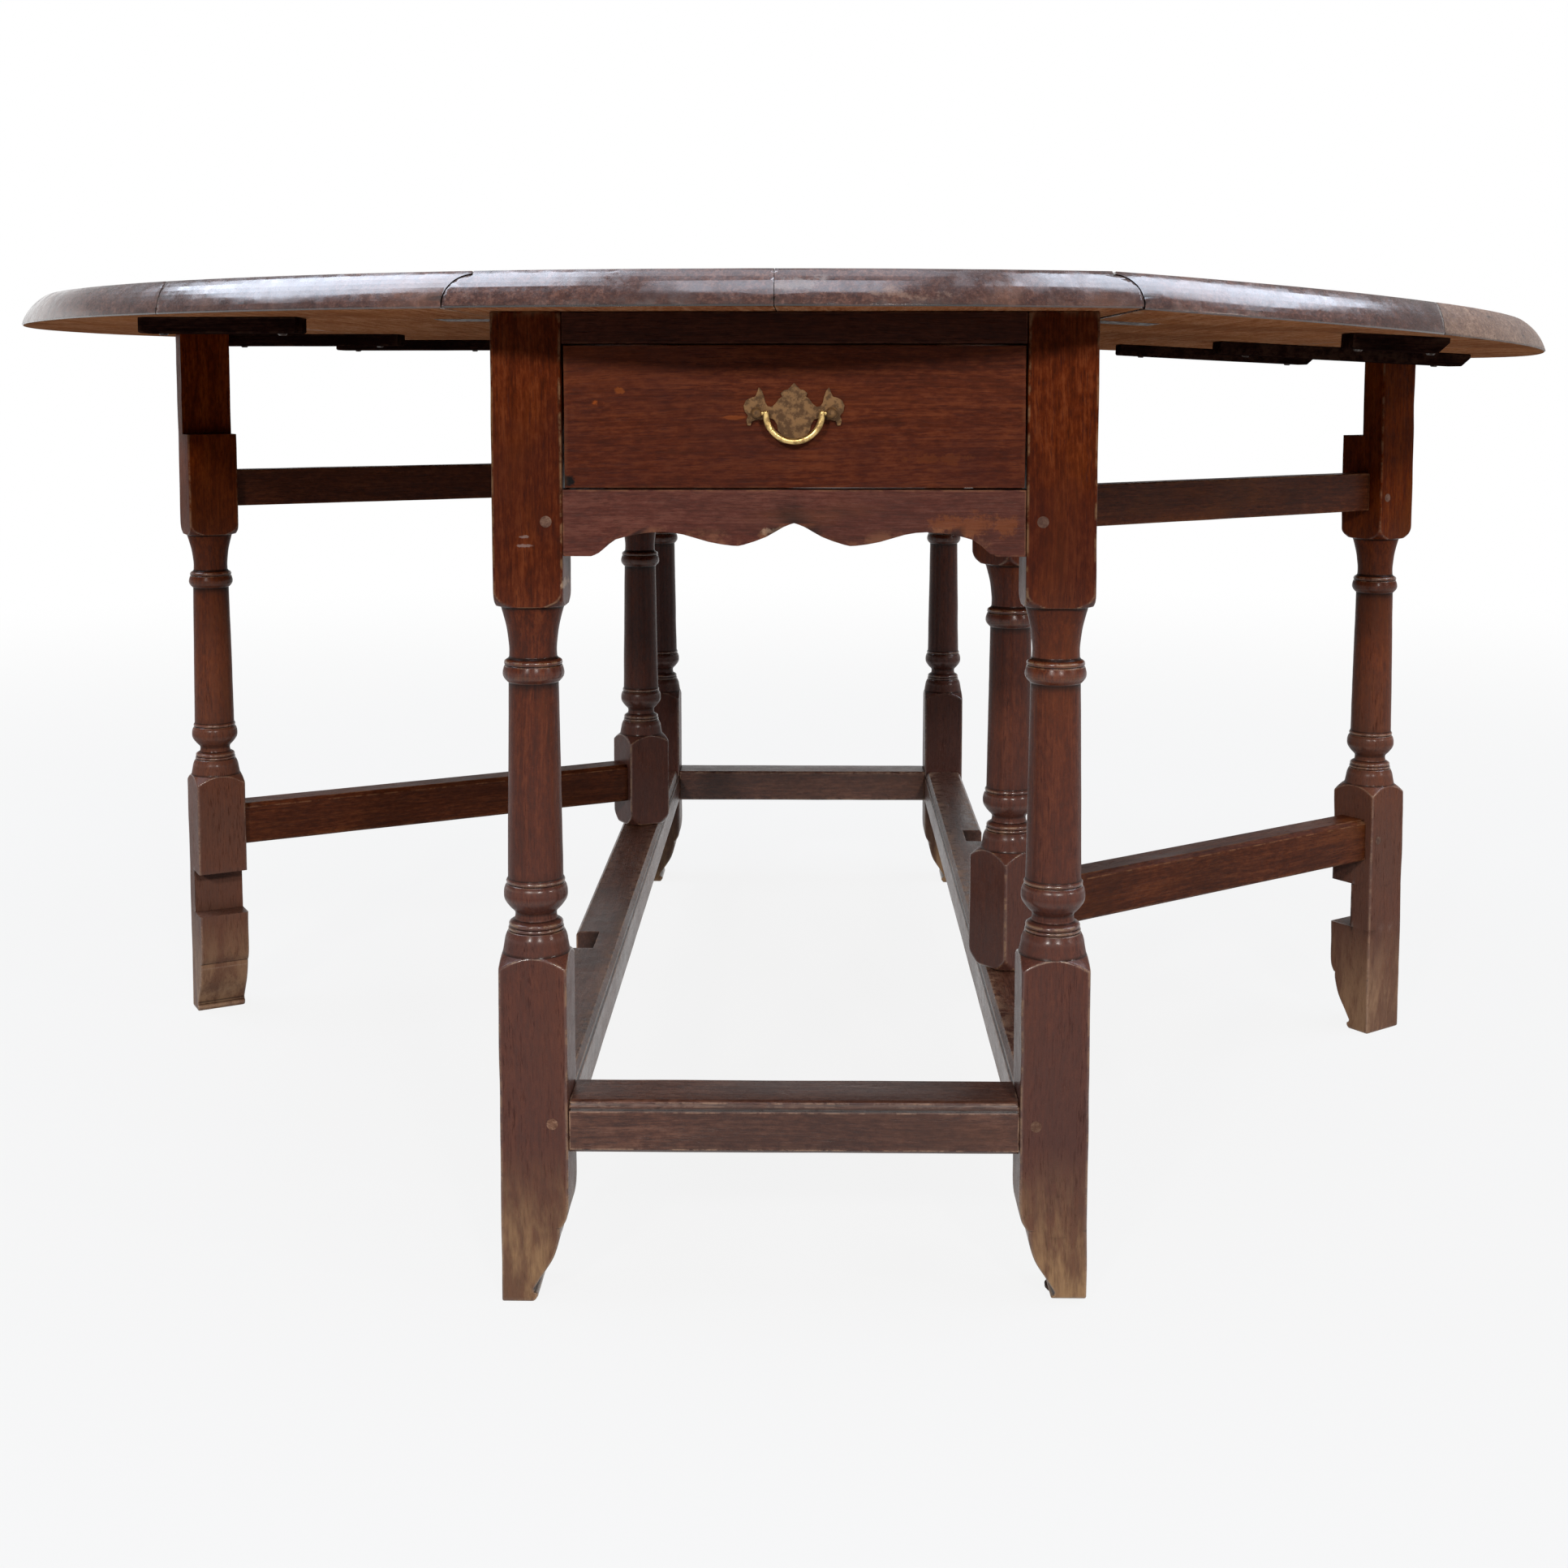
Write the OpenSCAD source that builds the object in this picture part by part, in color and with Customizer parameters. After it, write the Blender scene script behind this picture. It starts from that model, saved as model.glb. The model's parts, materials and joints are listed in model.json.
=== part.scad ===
// Round folding table: an oak gateleg with one drawer, two drop leaves and two gates.
// Millimetres, +Z up. The origin is on the floor under the centre of the round top.
// The front, with the drawer, faces -Y. It is drawn open, as it stands in use.

/* [Top] */
// radius of the round top
top_r = 704; // [690:1:720]
// thickness of the top boards
top_t = 25; // [24:0.5:28]
// height of the underside of the top above the floor
under_z = 700; // [690:1:720]
// distance of the underframe to the right of the centre of the top
frame_x = 15; // [0:1:18]
// half width of the flat of the centre section, which is also the hinge line
seam_x = 210; // [209:0.5:214]
// radius of the rounded edge of the rule joint
rule_r = 19; // [18:0.5:20]
// gap between the two halves of the rule joint
rule_gap = 0.8; // [0.6:0.1:1]
// gap at the upright step at the top of the rule joint
step_gap = 1.2; // [1.1:0.1:1.6]
// radius of the rounded nosing round the edge
nose_r = 42.5; // [40:0.5:45]
// depth of the centre of the nosing below the underside
nose_drop = 12; // [10:0.5:14]
// angle by which the right leaf hangs below level on its gate
droop = 3; // [2:0.25:3]
// board joint of the centre section, measured from the middle of the underframe
centre_joint = -12; // [-30:1:30]
// width of the outer board of the left leaf, in from the rim
outer_left = 262; // [250:1:270]
// width of the outer board of the right leaf, in from the rim
outer_right = 214; // [205:1:222]
// thickness of the battens under the leaves
batten_t = 12; // [10:0.5:14]
// distance of the outer hinges from the rim
hinge_in = 267; // [255:1:280]

/* [Underframe] */
// width of the underframe over the legs
frame_w = 416; // [412:0.5:418]
// length of the underframe over the legs
frame_l = 1223; // [1210:1:1236]
// section of every turned leg
leg_sq = 49; // [48:0.25:50]
// height of the side and back rails
rail_h = 100; // [96:0.5:104]
// thickness of the side rails
rail_t = 25; // [24:0.5:26]
// length of the square block at the head of a leg
head_block = 195; // [190:1:200]
// height of the top of the square block at the foot of a leg
foot_block = 246; // [242:1:250]
// height of the underside of the stretchers
str_z = 108; // [104:1:112]
// height of the stretcher section
str_h = 38; // [36:0.5:40]
// depth of the front and back stretchers
str_d = 47; // [44:0.5:48]
// radius of the pegs that hold the joints
peg_r = 4; // [3.5:0.1:4.2]
// height of the worn front right foot above the floor
foot_lift = 4.5; // [4:0.25:6]

/* [Gates] */
// distance of each gate post from the middle of the length
post_y = 274; // [270:1:280]
// distance from the pivot to the axis of the gate leg
gate_len = 481; // [476:1:484]
// angle by which the left gate stands open
open_left = 60.7; // [59.5:0.1:62]
// angle by which the right gate stands open
open_right = 54.4; // [52.6:0.1:55.6]
// depth of the underside of the upper gate rail below the top
gate_up_drop = 175; // [172:1:178]
// height of the section of the upper gate rail
gate_up_h = 37; // [35:1:39]
// height of the underside of the lower gate rail
gate_lo_z = 175; // [172:1:178]
// height of the section of the lower gate rail
gate_lo_h = 42; // [40:1:44]

/* [Drawer] */
// height of the thin rail over the drawer
over_h = 22; // [20:0.5:24]
// height of the drawer opening
open_h = 99.5; // [97:0.5:102]
// thickness of the drawer front
front_t = 20; // [19:0.5:22]
// depth of the drawer from face to back
drawer_l = 416; // [400:1:430]
// half width of the drawer box behind its front
box_x = 144; // [142:0.5:144]
// length of the drawer runners
runner_l = 410; // [400:1:420]
// radius of the bail loop
bail_r = 19.2; // [18.6:0.1:19.3]

/* [Hidden] */
$fn = 64;
leg_x = frame_w / 2 - leg_sq / 2;
leg_y = frame_l / 2 - leg_sq / 2;
in_x = leg_x - leg_sq / 2;
in_y = leg_y - leg_sq / 2;
face_y = frame_l / 2;
top_z = under_z + top_t;
nose_x = top_r - sqrt(nose_r * nose_r - nose_drop * nose_drop);
rail_z = under_z - rail_h;
open_z1 = under_z - over_h;
open_z0 = open_z1 - open_h;
gate_up_z = under_z - gate_up_drop;
// the hinge axis is the centre of the rule joint, a little above the underside
hinge_z = under_z + 3;
// heights of the turned part, tied to the rails and the stretchers
turn_z0 = foot_block;
turn_z1 = under_z - head_block;
k = leg_sq / 49;
str_top = str_z + str_h;
// tenons, in the axes of a leg: length, and span across the leg
tenon_side = 20;
tenon_front = 22;
tenon_x = [-11, -1];
tenon_y = [-leg_sq / 2 + 14, -leg_sq / 2 + 26];
// underside of the tenon of the apron, and distance of the pegs from the middle of a leg
apron_t0 = open_z0 - 40;
peg_in = leg_sq / 2 - 11.5;
// pegs that hold the top
top_peg_r = 4.5;
top_peg_ys = [-in_y + 42.5, -110, 110, in_y - 42.5];
top_peg_x = 80;
// fits
fit = 0.1;
run = 0.08;
rest_gap = 0.4;
board_gap = 0.1;
swing_gap = 0.5;
notch_gap = 1.6;
gate_step = rail_z - 1.5;
// thickness of the upper and the lower gate rail, and length of their tenons
up_t = 22;
lo_t = 34;
gate_tenon = 20;
notch_z0 = str_z - 3;
notch_z1 = str_top + 3;
// where the two gate legs stand
ang_left = 270 - open_left;
ang_right = 90 - open_right;
gl_x = -leg_x + gate_len * cos(ang_left);
gl_y = post_y + gate_len * sin(ang_left);
gr_x = leg_x + gate_len * cos(ang_right);
gr_y = -post_y + gate_len * sin(ang_right);
// half width of a square leg seen along Y when its gate is open
half_l = leg_sq / 2 * (abs(cos(ang_left)) + abs(sin(ang_left)));
half_r = leg_sq / 2 * (abs(cos(ang_right)) + abs(sin(ang_right)));
gate_top_l = under_z - rest_gap;
gate_top_r = hinge_z - 3 / cos(droop) - (gr_x + half_r - seam_x) * tan(droop) - rest_gap;
// drawer
runner_z0 = open_z0 + 46.5;
runner_h = 12;
runner_x = box_x - 7.5;
nail_ys = [for (d = [62, 192, 317]) -in_y + d];
nail_z = runner_z0 + 6;
side_t = 14;
box_z0 = open_z0 + 4;
box_h = open_h - 15.5;
pull_z = open_z0 + 52.5;
pull_y = face_y - 1;
post_dx = 25.5;
plate_thick = 1.5;
bail_y = -pull_y - plate_thick - 6;
// hinges
hinge_y = sqrt(top_r * top_r - (seam_x + frame_x) * (seam_x + frame_x)) - hinge_in;
hinge_ys = [-hinge_y, 0, hinge_y];
hinge_w = 60;
pin_r = 1.5;
knuckle_r = 2.9;
plate_t = 2;
// hinge screws: distance from the hinge line in the centre board and in the leaf, half spacing along Y
screw_in = 26;
screw_out = 46;
screw_dy = 19;
screw_l = 14;

// helpers

module at_frame() { translate([frame_x, 0, 0]) children(); }

// box from one corner to the opposite one
module bx(a, b) { translate(a) cube([b[0] - a[0], b[1] - a[1], b[2] - a[2]]); }

// cylinder along Y from y0 to y1
module ycyl(x, y0, y1, z, r) {
  translate([x, y1, z]) rotate([90, 0, 0]) cylinder(r = r, h = y1 - y0);
}

// cylinder along X from x0 to x1
module xcyl(x0, x1, y, z, r) {
  translate([x0, y, z]) rotate([0, 90, 0]) cylinder(r = r, h = x1 - x0);
}

// smooth curve through points, with n short steps from each point to the next
function curve(p, n = 3) = [
  for (i = [0:len(p) - 2], j = [0:n - 1]) between(p, i, j / n),
  p[len(p) - 1]
];
function between(p, i, t) =
  let(a = p[max(i - 1, 0)], b = p[i], c = p[i + 1], d = p[min(i + 2, len(p) - 1)])
  0.5 * (2 * b + (c - a) * t + (2 * a - 5 * b + 4 * c - d) * t * t
         + (3 * b - a - 3 * c + d) * t * t * t);

// the turned pattern shared by the legs and the gate posts

// mouldings over the foot block: radius, height above the block
function low_turning() = concat(
  curve([[36, -7], [30, -1.2], [24.6, 3]], 2),
  curve([[24.1, 4.4], [23.2, 9], [22.3, 14], [20.3, 18.5]], 2),
  [[19.3, 18.9]],
  curve([[19.9, 19.4], [20.1, 20.3], [19.8, 21.1]], 2),
  [[18.9, 21.6]],
  curve([[19.5, 22.2], [19.4, 24.2], [17.4, 25.7]], 2),
  curve([[15.6, 26.7], [15, 29.2], [15.4, 32.2], [18.9, 36], [22.3, 41], [22.9, 45.4],
    [22.3, 49.6], [20.9, 52.2]], 2),
  [[20.3, 52.7]],
  curve([[20.9, 53.3], [21.1, 54.6], [20, 56.4]], 2),
  [[19.9, 57.6]]);

// mouldings under the head block: radius, height above the start of the block
function high_turning() = concat(
  [[17.9, -63]],
  curve([[18.9, -62.2], [21.4, -59], [21.9, -55.6], [20.7, -51]], 2),
  [[20.1, -50.3]],
  curve([[20.7, -49.6], [20.4, -47.6], [18.2, -46.2]], 2),
  curve([[17.1, -44.8], [16.9, -39], [17.4, -33], [18.6, -24], [20.6, -15.5], [22.2, -9.8]], 2),
  [[22.6, -9]],
  curve([[27, -8], [31.5, -4], [34, 1], [36, 6]], 2));

function turning() = concat(
  [for (p = low_turning()) [p[0] * k, turn_z0 + p[1]]],
  [for (p = high_turning()) [p[0] * k, turn_z1 + p[1]]]);

// a square bar turned between its blocks, from z0 to z1
module turned(z0, z1, low = [], high = []) {
  intersection() {
    translate([-leg_sq / 2, -leg_sq / 2, z0]) cube([leg_sq, leg_sq, z1 - z0]);
    rotate_extrude()
      polygon(concat(
        [[0, z0 - 1]], len(low) > 0 ? low : [[36 * k, z0 - 1]],
        turning(),
        len(high) > 0 ? high : [[36 * k, z1 + 1]], [[0, z1 + 1]]));
  }
}

// what is cut away to shape the foot, on the side that faces +X
module foot_cut() {
  outline = concat(
    [[-5, 76]],
    curve([[0, 76], [0.5, 67], [2, 59.5], [5.2, 54]], 2),
    curve([[6.6, 54], [7, 46], [11.5, 31.5], [20.5, 17.5], [26, 8.8]], 2),
    [[25.4, 6.6], [23.3, 5.3], [23.1, 3.2], [24.6, 1], [25.5, -1], [-5, -1]]);
  translate([0, leg_sq, 0]) rotate([90, 0, 0]) linear_extrude(2 * leg_sq)
    polygon([for (p = outline) [leg_sq / 2 - p[0], p[1]]]);
}

// legs of the underframe, drawn at the front left corner

module rail_mortises(front) {
  // side rail and side stretcher run along Y
  bx([tenon_x[0] - fit / 2, leg_sq / 2 - tenon_side - 1, rail_z + 6 - fit / 2],
     [tenon_x[1] + fit / 2, leg_sq / 2 + 1, under_z - 6 + fit / 2]);
  bx([tenon_x[0] - fit / 2, leg_sq / 2 - tenon_side - 1, str_z + 5 - fit / 2],
     [tenon_x[1] + fit / 2, leg_sq / 2 + 1, str_top - 5 + fit / 2]);
  // rails and stretchers that run along X
  a = leg_sq / 2 - tenon_front - 1;
  b = leg_sq / 2 + 1;
  bx([a, tenon_y[0] - fit / 2, str_z + 5 - fit / 2], [b, tenon_y[1] + fit / 2, str_top - 5 + fit / 2]);
  if (front) {
    bx([a, tenon_y[0] - fit / 2, apron_t0 - fit / 2], [b, tenon_y[1] + fit / 2, open_z0 - 4 + fit / 2]);
    bx([a, tenon_y[0] - fit / 2, open_z1 + 5 - fit / 2], [b, tenon_y[1] + fit / 2, under_z - 5 + fit / 2]);
  } else {
    bx([a, tenon_y[0] - fit / 2, rail_z + 6 - fit / 2], [b, tenon_y[1] + fit / 2, under_z - 6 + fit / 2]);
  }
}

// pegs of one corner, drawn at the front left leg; g widens them for the holes
module corner_pegs(front, g) {
  r = peg_r + g;
  s = leg_sq / 2;
  zz = front ? [apron_t0 + 18] : [rail_z + 28, under_z - 24];
  for (z = concat(zz, [str_z + 22])) ycyl(peg_in, -s - g, tenon_y[1] + 5 + g, z, r);
  for (z = [rail_z + 15, under_z - 37, str_z + 9.5])
    xcyl(-s - g, tenon_x[1] + 5 + g, peg_in, z, r);
}

module leg(front, lift = 0) {
  difference() {
    turned(lift, under_z);
    foot_cut();
    rail_mortises(front);
    corner_pegs(front, fit / 2);
    if (lift > 0) glide_hole();
  }
}

module glide_hole() {
  translate([-7, 0, foot_lift - 1]) cylinder(r = 1.55, h = 16.1);
}

module leg_front_left() color([0.36, 0.19, 0.12])
  at_frame() translate([-leg_x, -leg_y, 0]) leg(true);

module leg_front_right() color([0.36, 0.19, 0.12])
  at_frame() mirror([1, 0, 0]) translate([-leg_x, -leg_y, 0]) leg(true, foot_lift);

module leg_back_left() color([0.34, 0.18, 0.11])
  at_frame() mirror([0, 1, 0]) translate([-leg_x, -leg_y, 0]) leg(false);

module leg_back_right() color([0.34, 0.18, 0.11])
  at_frame() rotate(180) translate([-leg_x, -leg_y, 0]) leg(false);

// small metal glide that makes up the height of the worn front right foot
module foot_glide() color([0.2, 0.19, 0.18])
  at_frame() translate([leg_x + 7, -leg_y, 0]) {
    rotate_extrude() polygon([
      [0, 0], [6, 0], [8.4, 0.8], [9.6, 2.2], [9.8, foot_lift], [0, foot_lift]]);
    translate([0, 0, foot_lift]) cylinder(r = 1.5, h = 14);
  }

// rails

// side rail on the left, with the notch that takes the gate leg and the pivot hole
module side_rail(sy) {
  x0 = -leg_x - rail_t / 2;
  x1 = -leg_x + rail_t / 2;
  yn = sy * (post_y - gate_len);
  difference() {
    union() {
      bx([x0, -in_y, rail_z], [x1, in_y, under_z]);
      bx([-leg_x + tenon_x[0], -in_y - tenon_side, rail_z + 6],
         [-leg_x + tenon_x[1], in_y + tenon_side, under_z - 6]);
    }
    // half lap for the top of the gate leg
    bx([x0 - 1, yn - leg_sq / 2 - notch_gap, rail_z - 1],
       [-leg_x, yn + leg_sq / 2 + notch_gap, under_z + 1]);
    // socket for the upper pivot of the gate post
    translate([-leg_x, sy * post_y, rail_z - 1]) cylinder(r = 7 + run, h = 28);
    for (m = [0, 1]) mirror([0, m, 0])
      translate([-leg_x, -leg_y, 0]) corner_pegs(m == 0, fit / 2);
    // holes for the nails that hold the drawer runner
    for (y = nail_ys) xcyl(-leg_x + rail_t / 2 - 18, -leg_x + rail_t / 2 + 1, y, nail_z, 1.55);
    for (y = top_peg_ys) translate([-leg_x, y, under_z - 40])
      cylinder(r = top_peg_r + fit / 2, h = 60);
  }
}

module rail_side_left() color([0.3, 0.16, 0.1]) at_frame() side_rail(1);

module rail_side_right() color([0.3, 0.16, 0.1]) at_frame() mirror([1, 0, 0]) side_rail(-1);

module rail_back() color([0.3, 0.16, 0.1]) at_frame() {
  difference() {
    union() {
      bx([-in_x, leg_y - tenon_y[1] - 2, rail_z], [in_x, leg_y - tenon_y[0] + 4, under_z]);
      bx([-in_x - tenon_front, leg_y - tenon_y[1], rail_z + 6],
         [in_x + tenon_front, leg_y - tenon_y[0], under_z - 6]);
    }
    for (m = [0, 1]) mirror([m, 0, 0]) mirror([0, 1, 0])
      translate([-leg_x, -leg_y, 0]) corner_pegs(false, fit / 2);
    for (x = [-top_peg_x, top_peg_x]) translate([x, leg_y - (tenon_y[0] + tenon_y[1]) / 2, under_z - 40])
      cylinder(r = top_peg_r + fit / 2, h = 60);
  }
}

// thin rail over the drawer
module rail_front_top() color([0.35, 0.19, 0.12]) at_frame() {
  difference() {
    union() {
      bx([-in_x, -face_y + 1.5, open_z1], [in_x, -in_y - 3, under_z]);
      bx([-in_x - tenon_front, -leg_y + tenon_y[0], open_z1 + 5],
         [in_x + tenon_front, -leg_y + tenon_y[1], under_z - 5]);
    }
    for (x = [-top_peg_x, top_peg_x]) translate([x, -leg_y, open_z1 - 1])
      cylinder(r = top_peg_r + fit / 2, h = 60);
  }
}

// half outline of the shaped lower edge: distance from the middle, depth below the opening
apron_h = 46;
scallop_half = 157;
scallop = concat(
  curve([[0, 23], [7, 25.6], [19, 32.6], [34, 37.9], [42, 38.6], [58, 36], [75, 31], [90, 29.2],
    [108, 31], [121, 34.4]], 2),
  curve([[127, 38.6], [132.5, 43.6], [138, apron_h]], 2));

module apron_front() color([0.38, 0.2, 0.12]) at_frame() {
  h = [for (p = scallop) [p[0] * in_x / scallop_half, open_z0 - p[1]]];
  n = len(h);
  difference() {
    union() {
      translate([0, -leg_y + tenon_y[1] + 2, 0]) rotate([90, 0, 0])
        linear_extrude(leg_sq / 2 + tenon_y[1] + 2 - 1.5)
          polygon(concat(
            [[in_x, open_z0], [-in_x, open_z0], [-in_x, open_z0 - apron_h]],
            [for (i = [n - 1:-1:1]) [-h[i][0], h[i][1]]], h,
            [[in_x, open_z0 - apron_h]]));
      for (m = [0, 1]) mirror([m, 0, 0])
        bx([in_x - 6, -leg_y + tenon_y[0], apron_t0],
           [in_x + tenon_front, -leg_y + tenon_y[1], open_z0 - 4]);
    }
    for (m = [0, 1]) mirror([m, 0, 0])
      translate([-leg_x, -leg_y, 0]) corner_pegs(true, fit / 2);
  }
}

// stretchers

module cross_stretcher(front) {
  y0 = -leg_y + leg_sq / 2 - str_d;
  difference() {
    union() {
      translate([in_x, 0, 0]) rotate([90, 0, -90]) linear_extrude(2 * in_x)
        polygon([
          [-y0 - str_d, str_z + 2], [-y0 - str_d + 2, str_z], [-y0 - 3, str_z],
          [-y0, str_z + 3], [-y0, str_top - 7.5], [-y0 - 1.2, str_top - 6.2],
          [-y0 - 1.4, str_top - 4], [-y0 - 2.8, str_top - 1.4], [-y0 - 5.5, str_top],
          [-y0 - str_d + 2, str_top], [-y0 - str_d, str_top - 2]]);
      bx([-in_x - tenon_front, -leg_y + tenon_y[0], str_z + 5],
         [in_x + tenon_front, -leg_y + tenon_y[1], str_top - 5]);
    }
    for (m = [0, 1]) mirror([m, 0, 0])
      translate([-leg_x, -leg_y, 0]) corner_pegs(front, fit / 2);
  }
}

module stretcher_front() color([0.37, 0.22, 0.14]) at_frame() cross_stretcher(true);

module stretcher_back() color([0.33, 0.19, 0.12])
  at_frame() mirror([0, 1, 0]) cross_stretcher(false);

// side stretcher on the left, notched for the gate leg and bored for the lower pivot
module side_stretcher(sy) {
  yn = sy * (post_y - gate_len);
  xo = -frame_w / 2 + 3;
  xi = -in_x;
  difference() {
    union() {
      translate([0, in_y, 0]) rotate([90, 0, 0]) linear_extrude(2 * in_y)
        polygon([
          [xo, str_z + 2], [xo + 2, str_z], [xi - 2, str_z], [xi, str_z + 2],
          [xi, str_top - 8], [xi - 1.5, str_top - 6.5], [xi - 1.5, str_top - 4.5],
          [xi - 5, str_top], [xo + 3, str_top], [xo, str_top - 3]]);
      bx([-leg_x + tenon_x[0], -in_y - tenon_side, str_z + 5],
         [-leg_x + tenon_x[1], in_y + tenon_side, str_top - 5]);
    }
    bx([xo - 1, yn - leg_sq / 2 - notch_gap, str_z - 1],
       [-leg_x, yn + leg_sq / 2 + notch_gap, str_top + 1]);
    translate([-leg_x, sy * post_y, str_top - 25]) cylinder(r = 8 + run, h = 26);
    for (m = [0, 1]) mirror([0, m, 0])
      translate([-leg_x, -leg_y, 0]) corner_pegs(m == 0, fit / 2);
  }
}

module stretcher_left() color([0.33, 0.2, 0.13]) at_frame() side_stretcher(1);

module stretcher_right() color([0.33, 0.2, 0.13])
  at_frame() mirror([1, 0, 0]) side_stretcher(-1);

// pegs of the underframe

module frame_pegs() color([0.2, 0.11, 0.07]) at_frame() {
  for (m = [0, 1]) mirror([m, 0, 0]) {
    translate([-leg_x, -leg_y, 0]) corner_pegs(true, 0);
    mirror([0, 1, 0]) translate([-leg_x, -leg_y, 0]) corner_pegs(false, 0);
  }
}

// pegs that hold the centre boards down to the rails; g widens them for the holes
module top_peg_set(g) {
  for (s = [-1, 1]) {
    for (y = top_peg_ys) translate([s * leg_x, y, under_z - 40 + (g > 0 ? -g : 0.5)])
      cylinder(r = top_peg_r + g, h = 39.5 + top_t + (g > 0 ? 2 : 0));
    translate([s * top_peg_x, -leg_y, open_z1 + 3])
      cylinder(r = top_peg_r + g, h = top_z - open_z1 - 3 + 2 * g);
    translate([s * top_peg_x, leg_y - (tenon_y[0] + tenon_y[1]) / 2, under_z - 39.5 - g])
      cylinder(r = top_peg_r + g, h = 39.5 + top_t + 2 * g);
  }
}

module top_pegs() color([0.25, 0.14, 0.09]) at_frame() top_peg_set(0);

// drawer runners

module runner() {
  difference() {
    bx([runner_x - 0.5, -in_y + 3, runner_z0],
       [leg_x - rail_t / 2, -in_y + 3 + runner_l, runner_z0 + runner_h]);
    for (y = nail_ys) xcyl(runner_x - 2, leg_x, y, nail_z, 1.55);
  }
}

module runner_left() color([0.45, 0.3, 0.18]) at_frame() mirror([1, 0, 0]) runner();

module runner_right() color([0.45, 0.3, 0.18]) at_frame() runner();

module runner_nails() color([0.16, 0.15, 0.14]) at_frame() {
  for (m = [0, 1]) mirror([m, 0, 0])
    for (y = nail_ys) xcyl(runner_x - 0.5, leg_x - rail_t / 2 + 17.5, y, nail_z, 1.5);
}

// the round top

// the full disc with its rounded nosing
module disc() {
  translate([0, 0, under_z]) rotate_extrude($fn = 180) intersection() {
    polygon([[0, 0], [top_r - 1.5, 0], [top_r, 1.5], [top_r, top_t], [0, top_t]]);
    union() {
      square([nose_x, top_t]);
      translate([nose_x, -nose_drop]) circle(r = nose_r);
    }
  }
}

// channel and pocket for the centre half of each hinge, drawn for the right side
module centre_hinge_cut() {
  for (y = hinge_ys) {
    bx([seam_x - 4.6, y - hinge_w / 2 - 0.6, under_z - 1],
       [seam_x + rule_r + 2, y + hinge_w / 2 + 0.6, hinge_z + 4.4]);
    bx([seam_x - 40.1, y - hinge_w / 2 - 0.1, under_z - 1],
       [seam_x - 4, y + hinge_w / 2 + 0.1, under_z + plate_t]);
    for (d = [-screw_dy, screw_dy]) translate([seam_x - screw_in, y + d, under_z])
      cylinder(r = 1.85, h = screw_l + 0.1);
  }
}

// one board of the centre section: s is -1 for the left one and +1 for the right one
module centre_board(s) {
  x0 = s > 0 ? centre_joint + board_gap : -seam_x;
  x1 = s > 0 ? seam_x : centre_joint - board_gap;
  intersection() {
    disc();
    at_frame() difference() {
      union() {
        bx([x0, -top_r - 5, under_z - 1], [x1, top_r + 5, top_z + 1]);
        ycyl(s * seam_x, -top_r - 5, top_r + 5, hinge_z, rule_r);
      }
      mirror([s > 0 ? 0 : 1, 0, 0]) centre_hinge_cut();
      top_peg_set(fit / 2);
    }
  }
}

module top_board_left() color([0.4, 0.26, 0.18]) centre_board(-1);

module top_board_right() color([0.4, 0.26, 0.18]) centre_board(1);

// leaves, drawn level; the right one is then lowered about its hinge

module leaf_blank(s) {
  intersection() {
    disc();
    at_frame() difference() {
      if (s > 0) bx([seam_x + step_gap, -top_r - 5, under_z - 1], [top_r + 60, top_r + 5, top_z + 1]);
      else bx([-top_r - 60, -top_r - 5, under_z - 1], [-seam_x - step_gap, top_r + 5, top_z + 1]);
      ycyl(s * seam_x, -top_r - 5, top_r + 5, hinge_z, rule_r + rule_gap);
      // pockets and pilot holes for the hinge plates
      mirror([s > 0 ? 0 : 1, 0, 0]) for (y = hinge_ys) {
        bx([seam_x, y - hinge_w / 2 - 0.1, under_z - 1],
           [seam_x + 70.1, y + hinge_w / 2 + 0.1, under_z + plate_t]);
        for (d = [-screw_dy, screw_dy]) translate([seam_x + screw_out, y + d, under_z])
          cylinder(r = 1.85, h = screw_l + 0.1);
      }
      batten_nail_set(s, 0.05);
    }
  }
}

module lowered() {
  translate([frame_x + seam_x, 0, hinge_z]) rotate([0, droop, 0])
    translate([-frame_x - seam_x, 0, -hinge_z]) children();
}

module leaf_left_inner() color([0.42, 0.27, 0.18]) intersection() {
  leaf_blank(-1);
  bx([outer_left - top_r + board_gap, -top_r, under_z - 2], [0, top_r, top_z + 2]);
}

module leaf_left_outer() color([0.4, 0.26, 0.18]) intersection() {
  leaf_blank(-1);
  bx([-top_r - 60, -top_r, under_z - 2], [outer_left - top_r - board_gap, top_r, top_z + 2]);
}

module leaf_right_inner() color([0.42, 0.27, 0.18]) lowered() intersection() {
  leaf_blank(1);
  bx([0, -top_r, under_z - 2], [top_r - outer_right - board_gap, top_r, top_z + 2]);
}

module leaf_right_outer() color([0.45, 0.32, 0.23]) lowered() intersection() {
  leaf_blank(1);
  bx([top_r - outer_right + board_gap, -top_r, under_z - 2], [top_r + 60, top_r, top_z + 2]);
}

// battens under the leaves

// the middle batten of each leaf stops the gate leg
stop_gap = 0.7;
stop_y_l = gl_y + half_l + stop_gap;
stop_y_r = gr_y - half_r - stop_gap;
// battens by the rim: distance from the rim to each end along X, width, distance from the rim along Y
rim_battens_left = [[229, 347, 34, 30], [167, 351, 38, 37]];
rim_battens_right = [[194, 267, 35, 30], [119, 334, 38, 114]];
// stop battens: distance from the rim to each end along X, width
stop_batten_left = [119, 305, 38];
stop_batten_right = [49, 287, 38];

// depth of the rim along Y at a distance d in from its widest point
function rim_y(d) = sqrt(top_r * top_r - (top_r - d) * (top_r - d));

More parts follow.
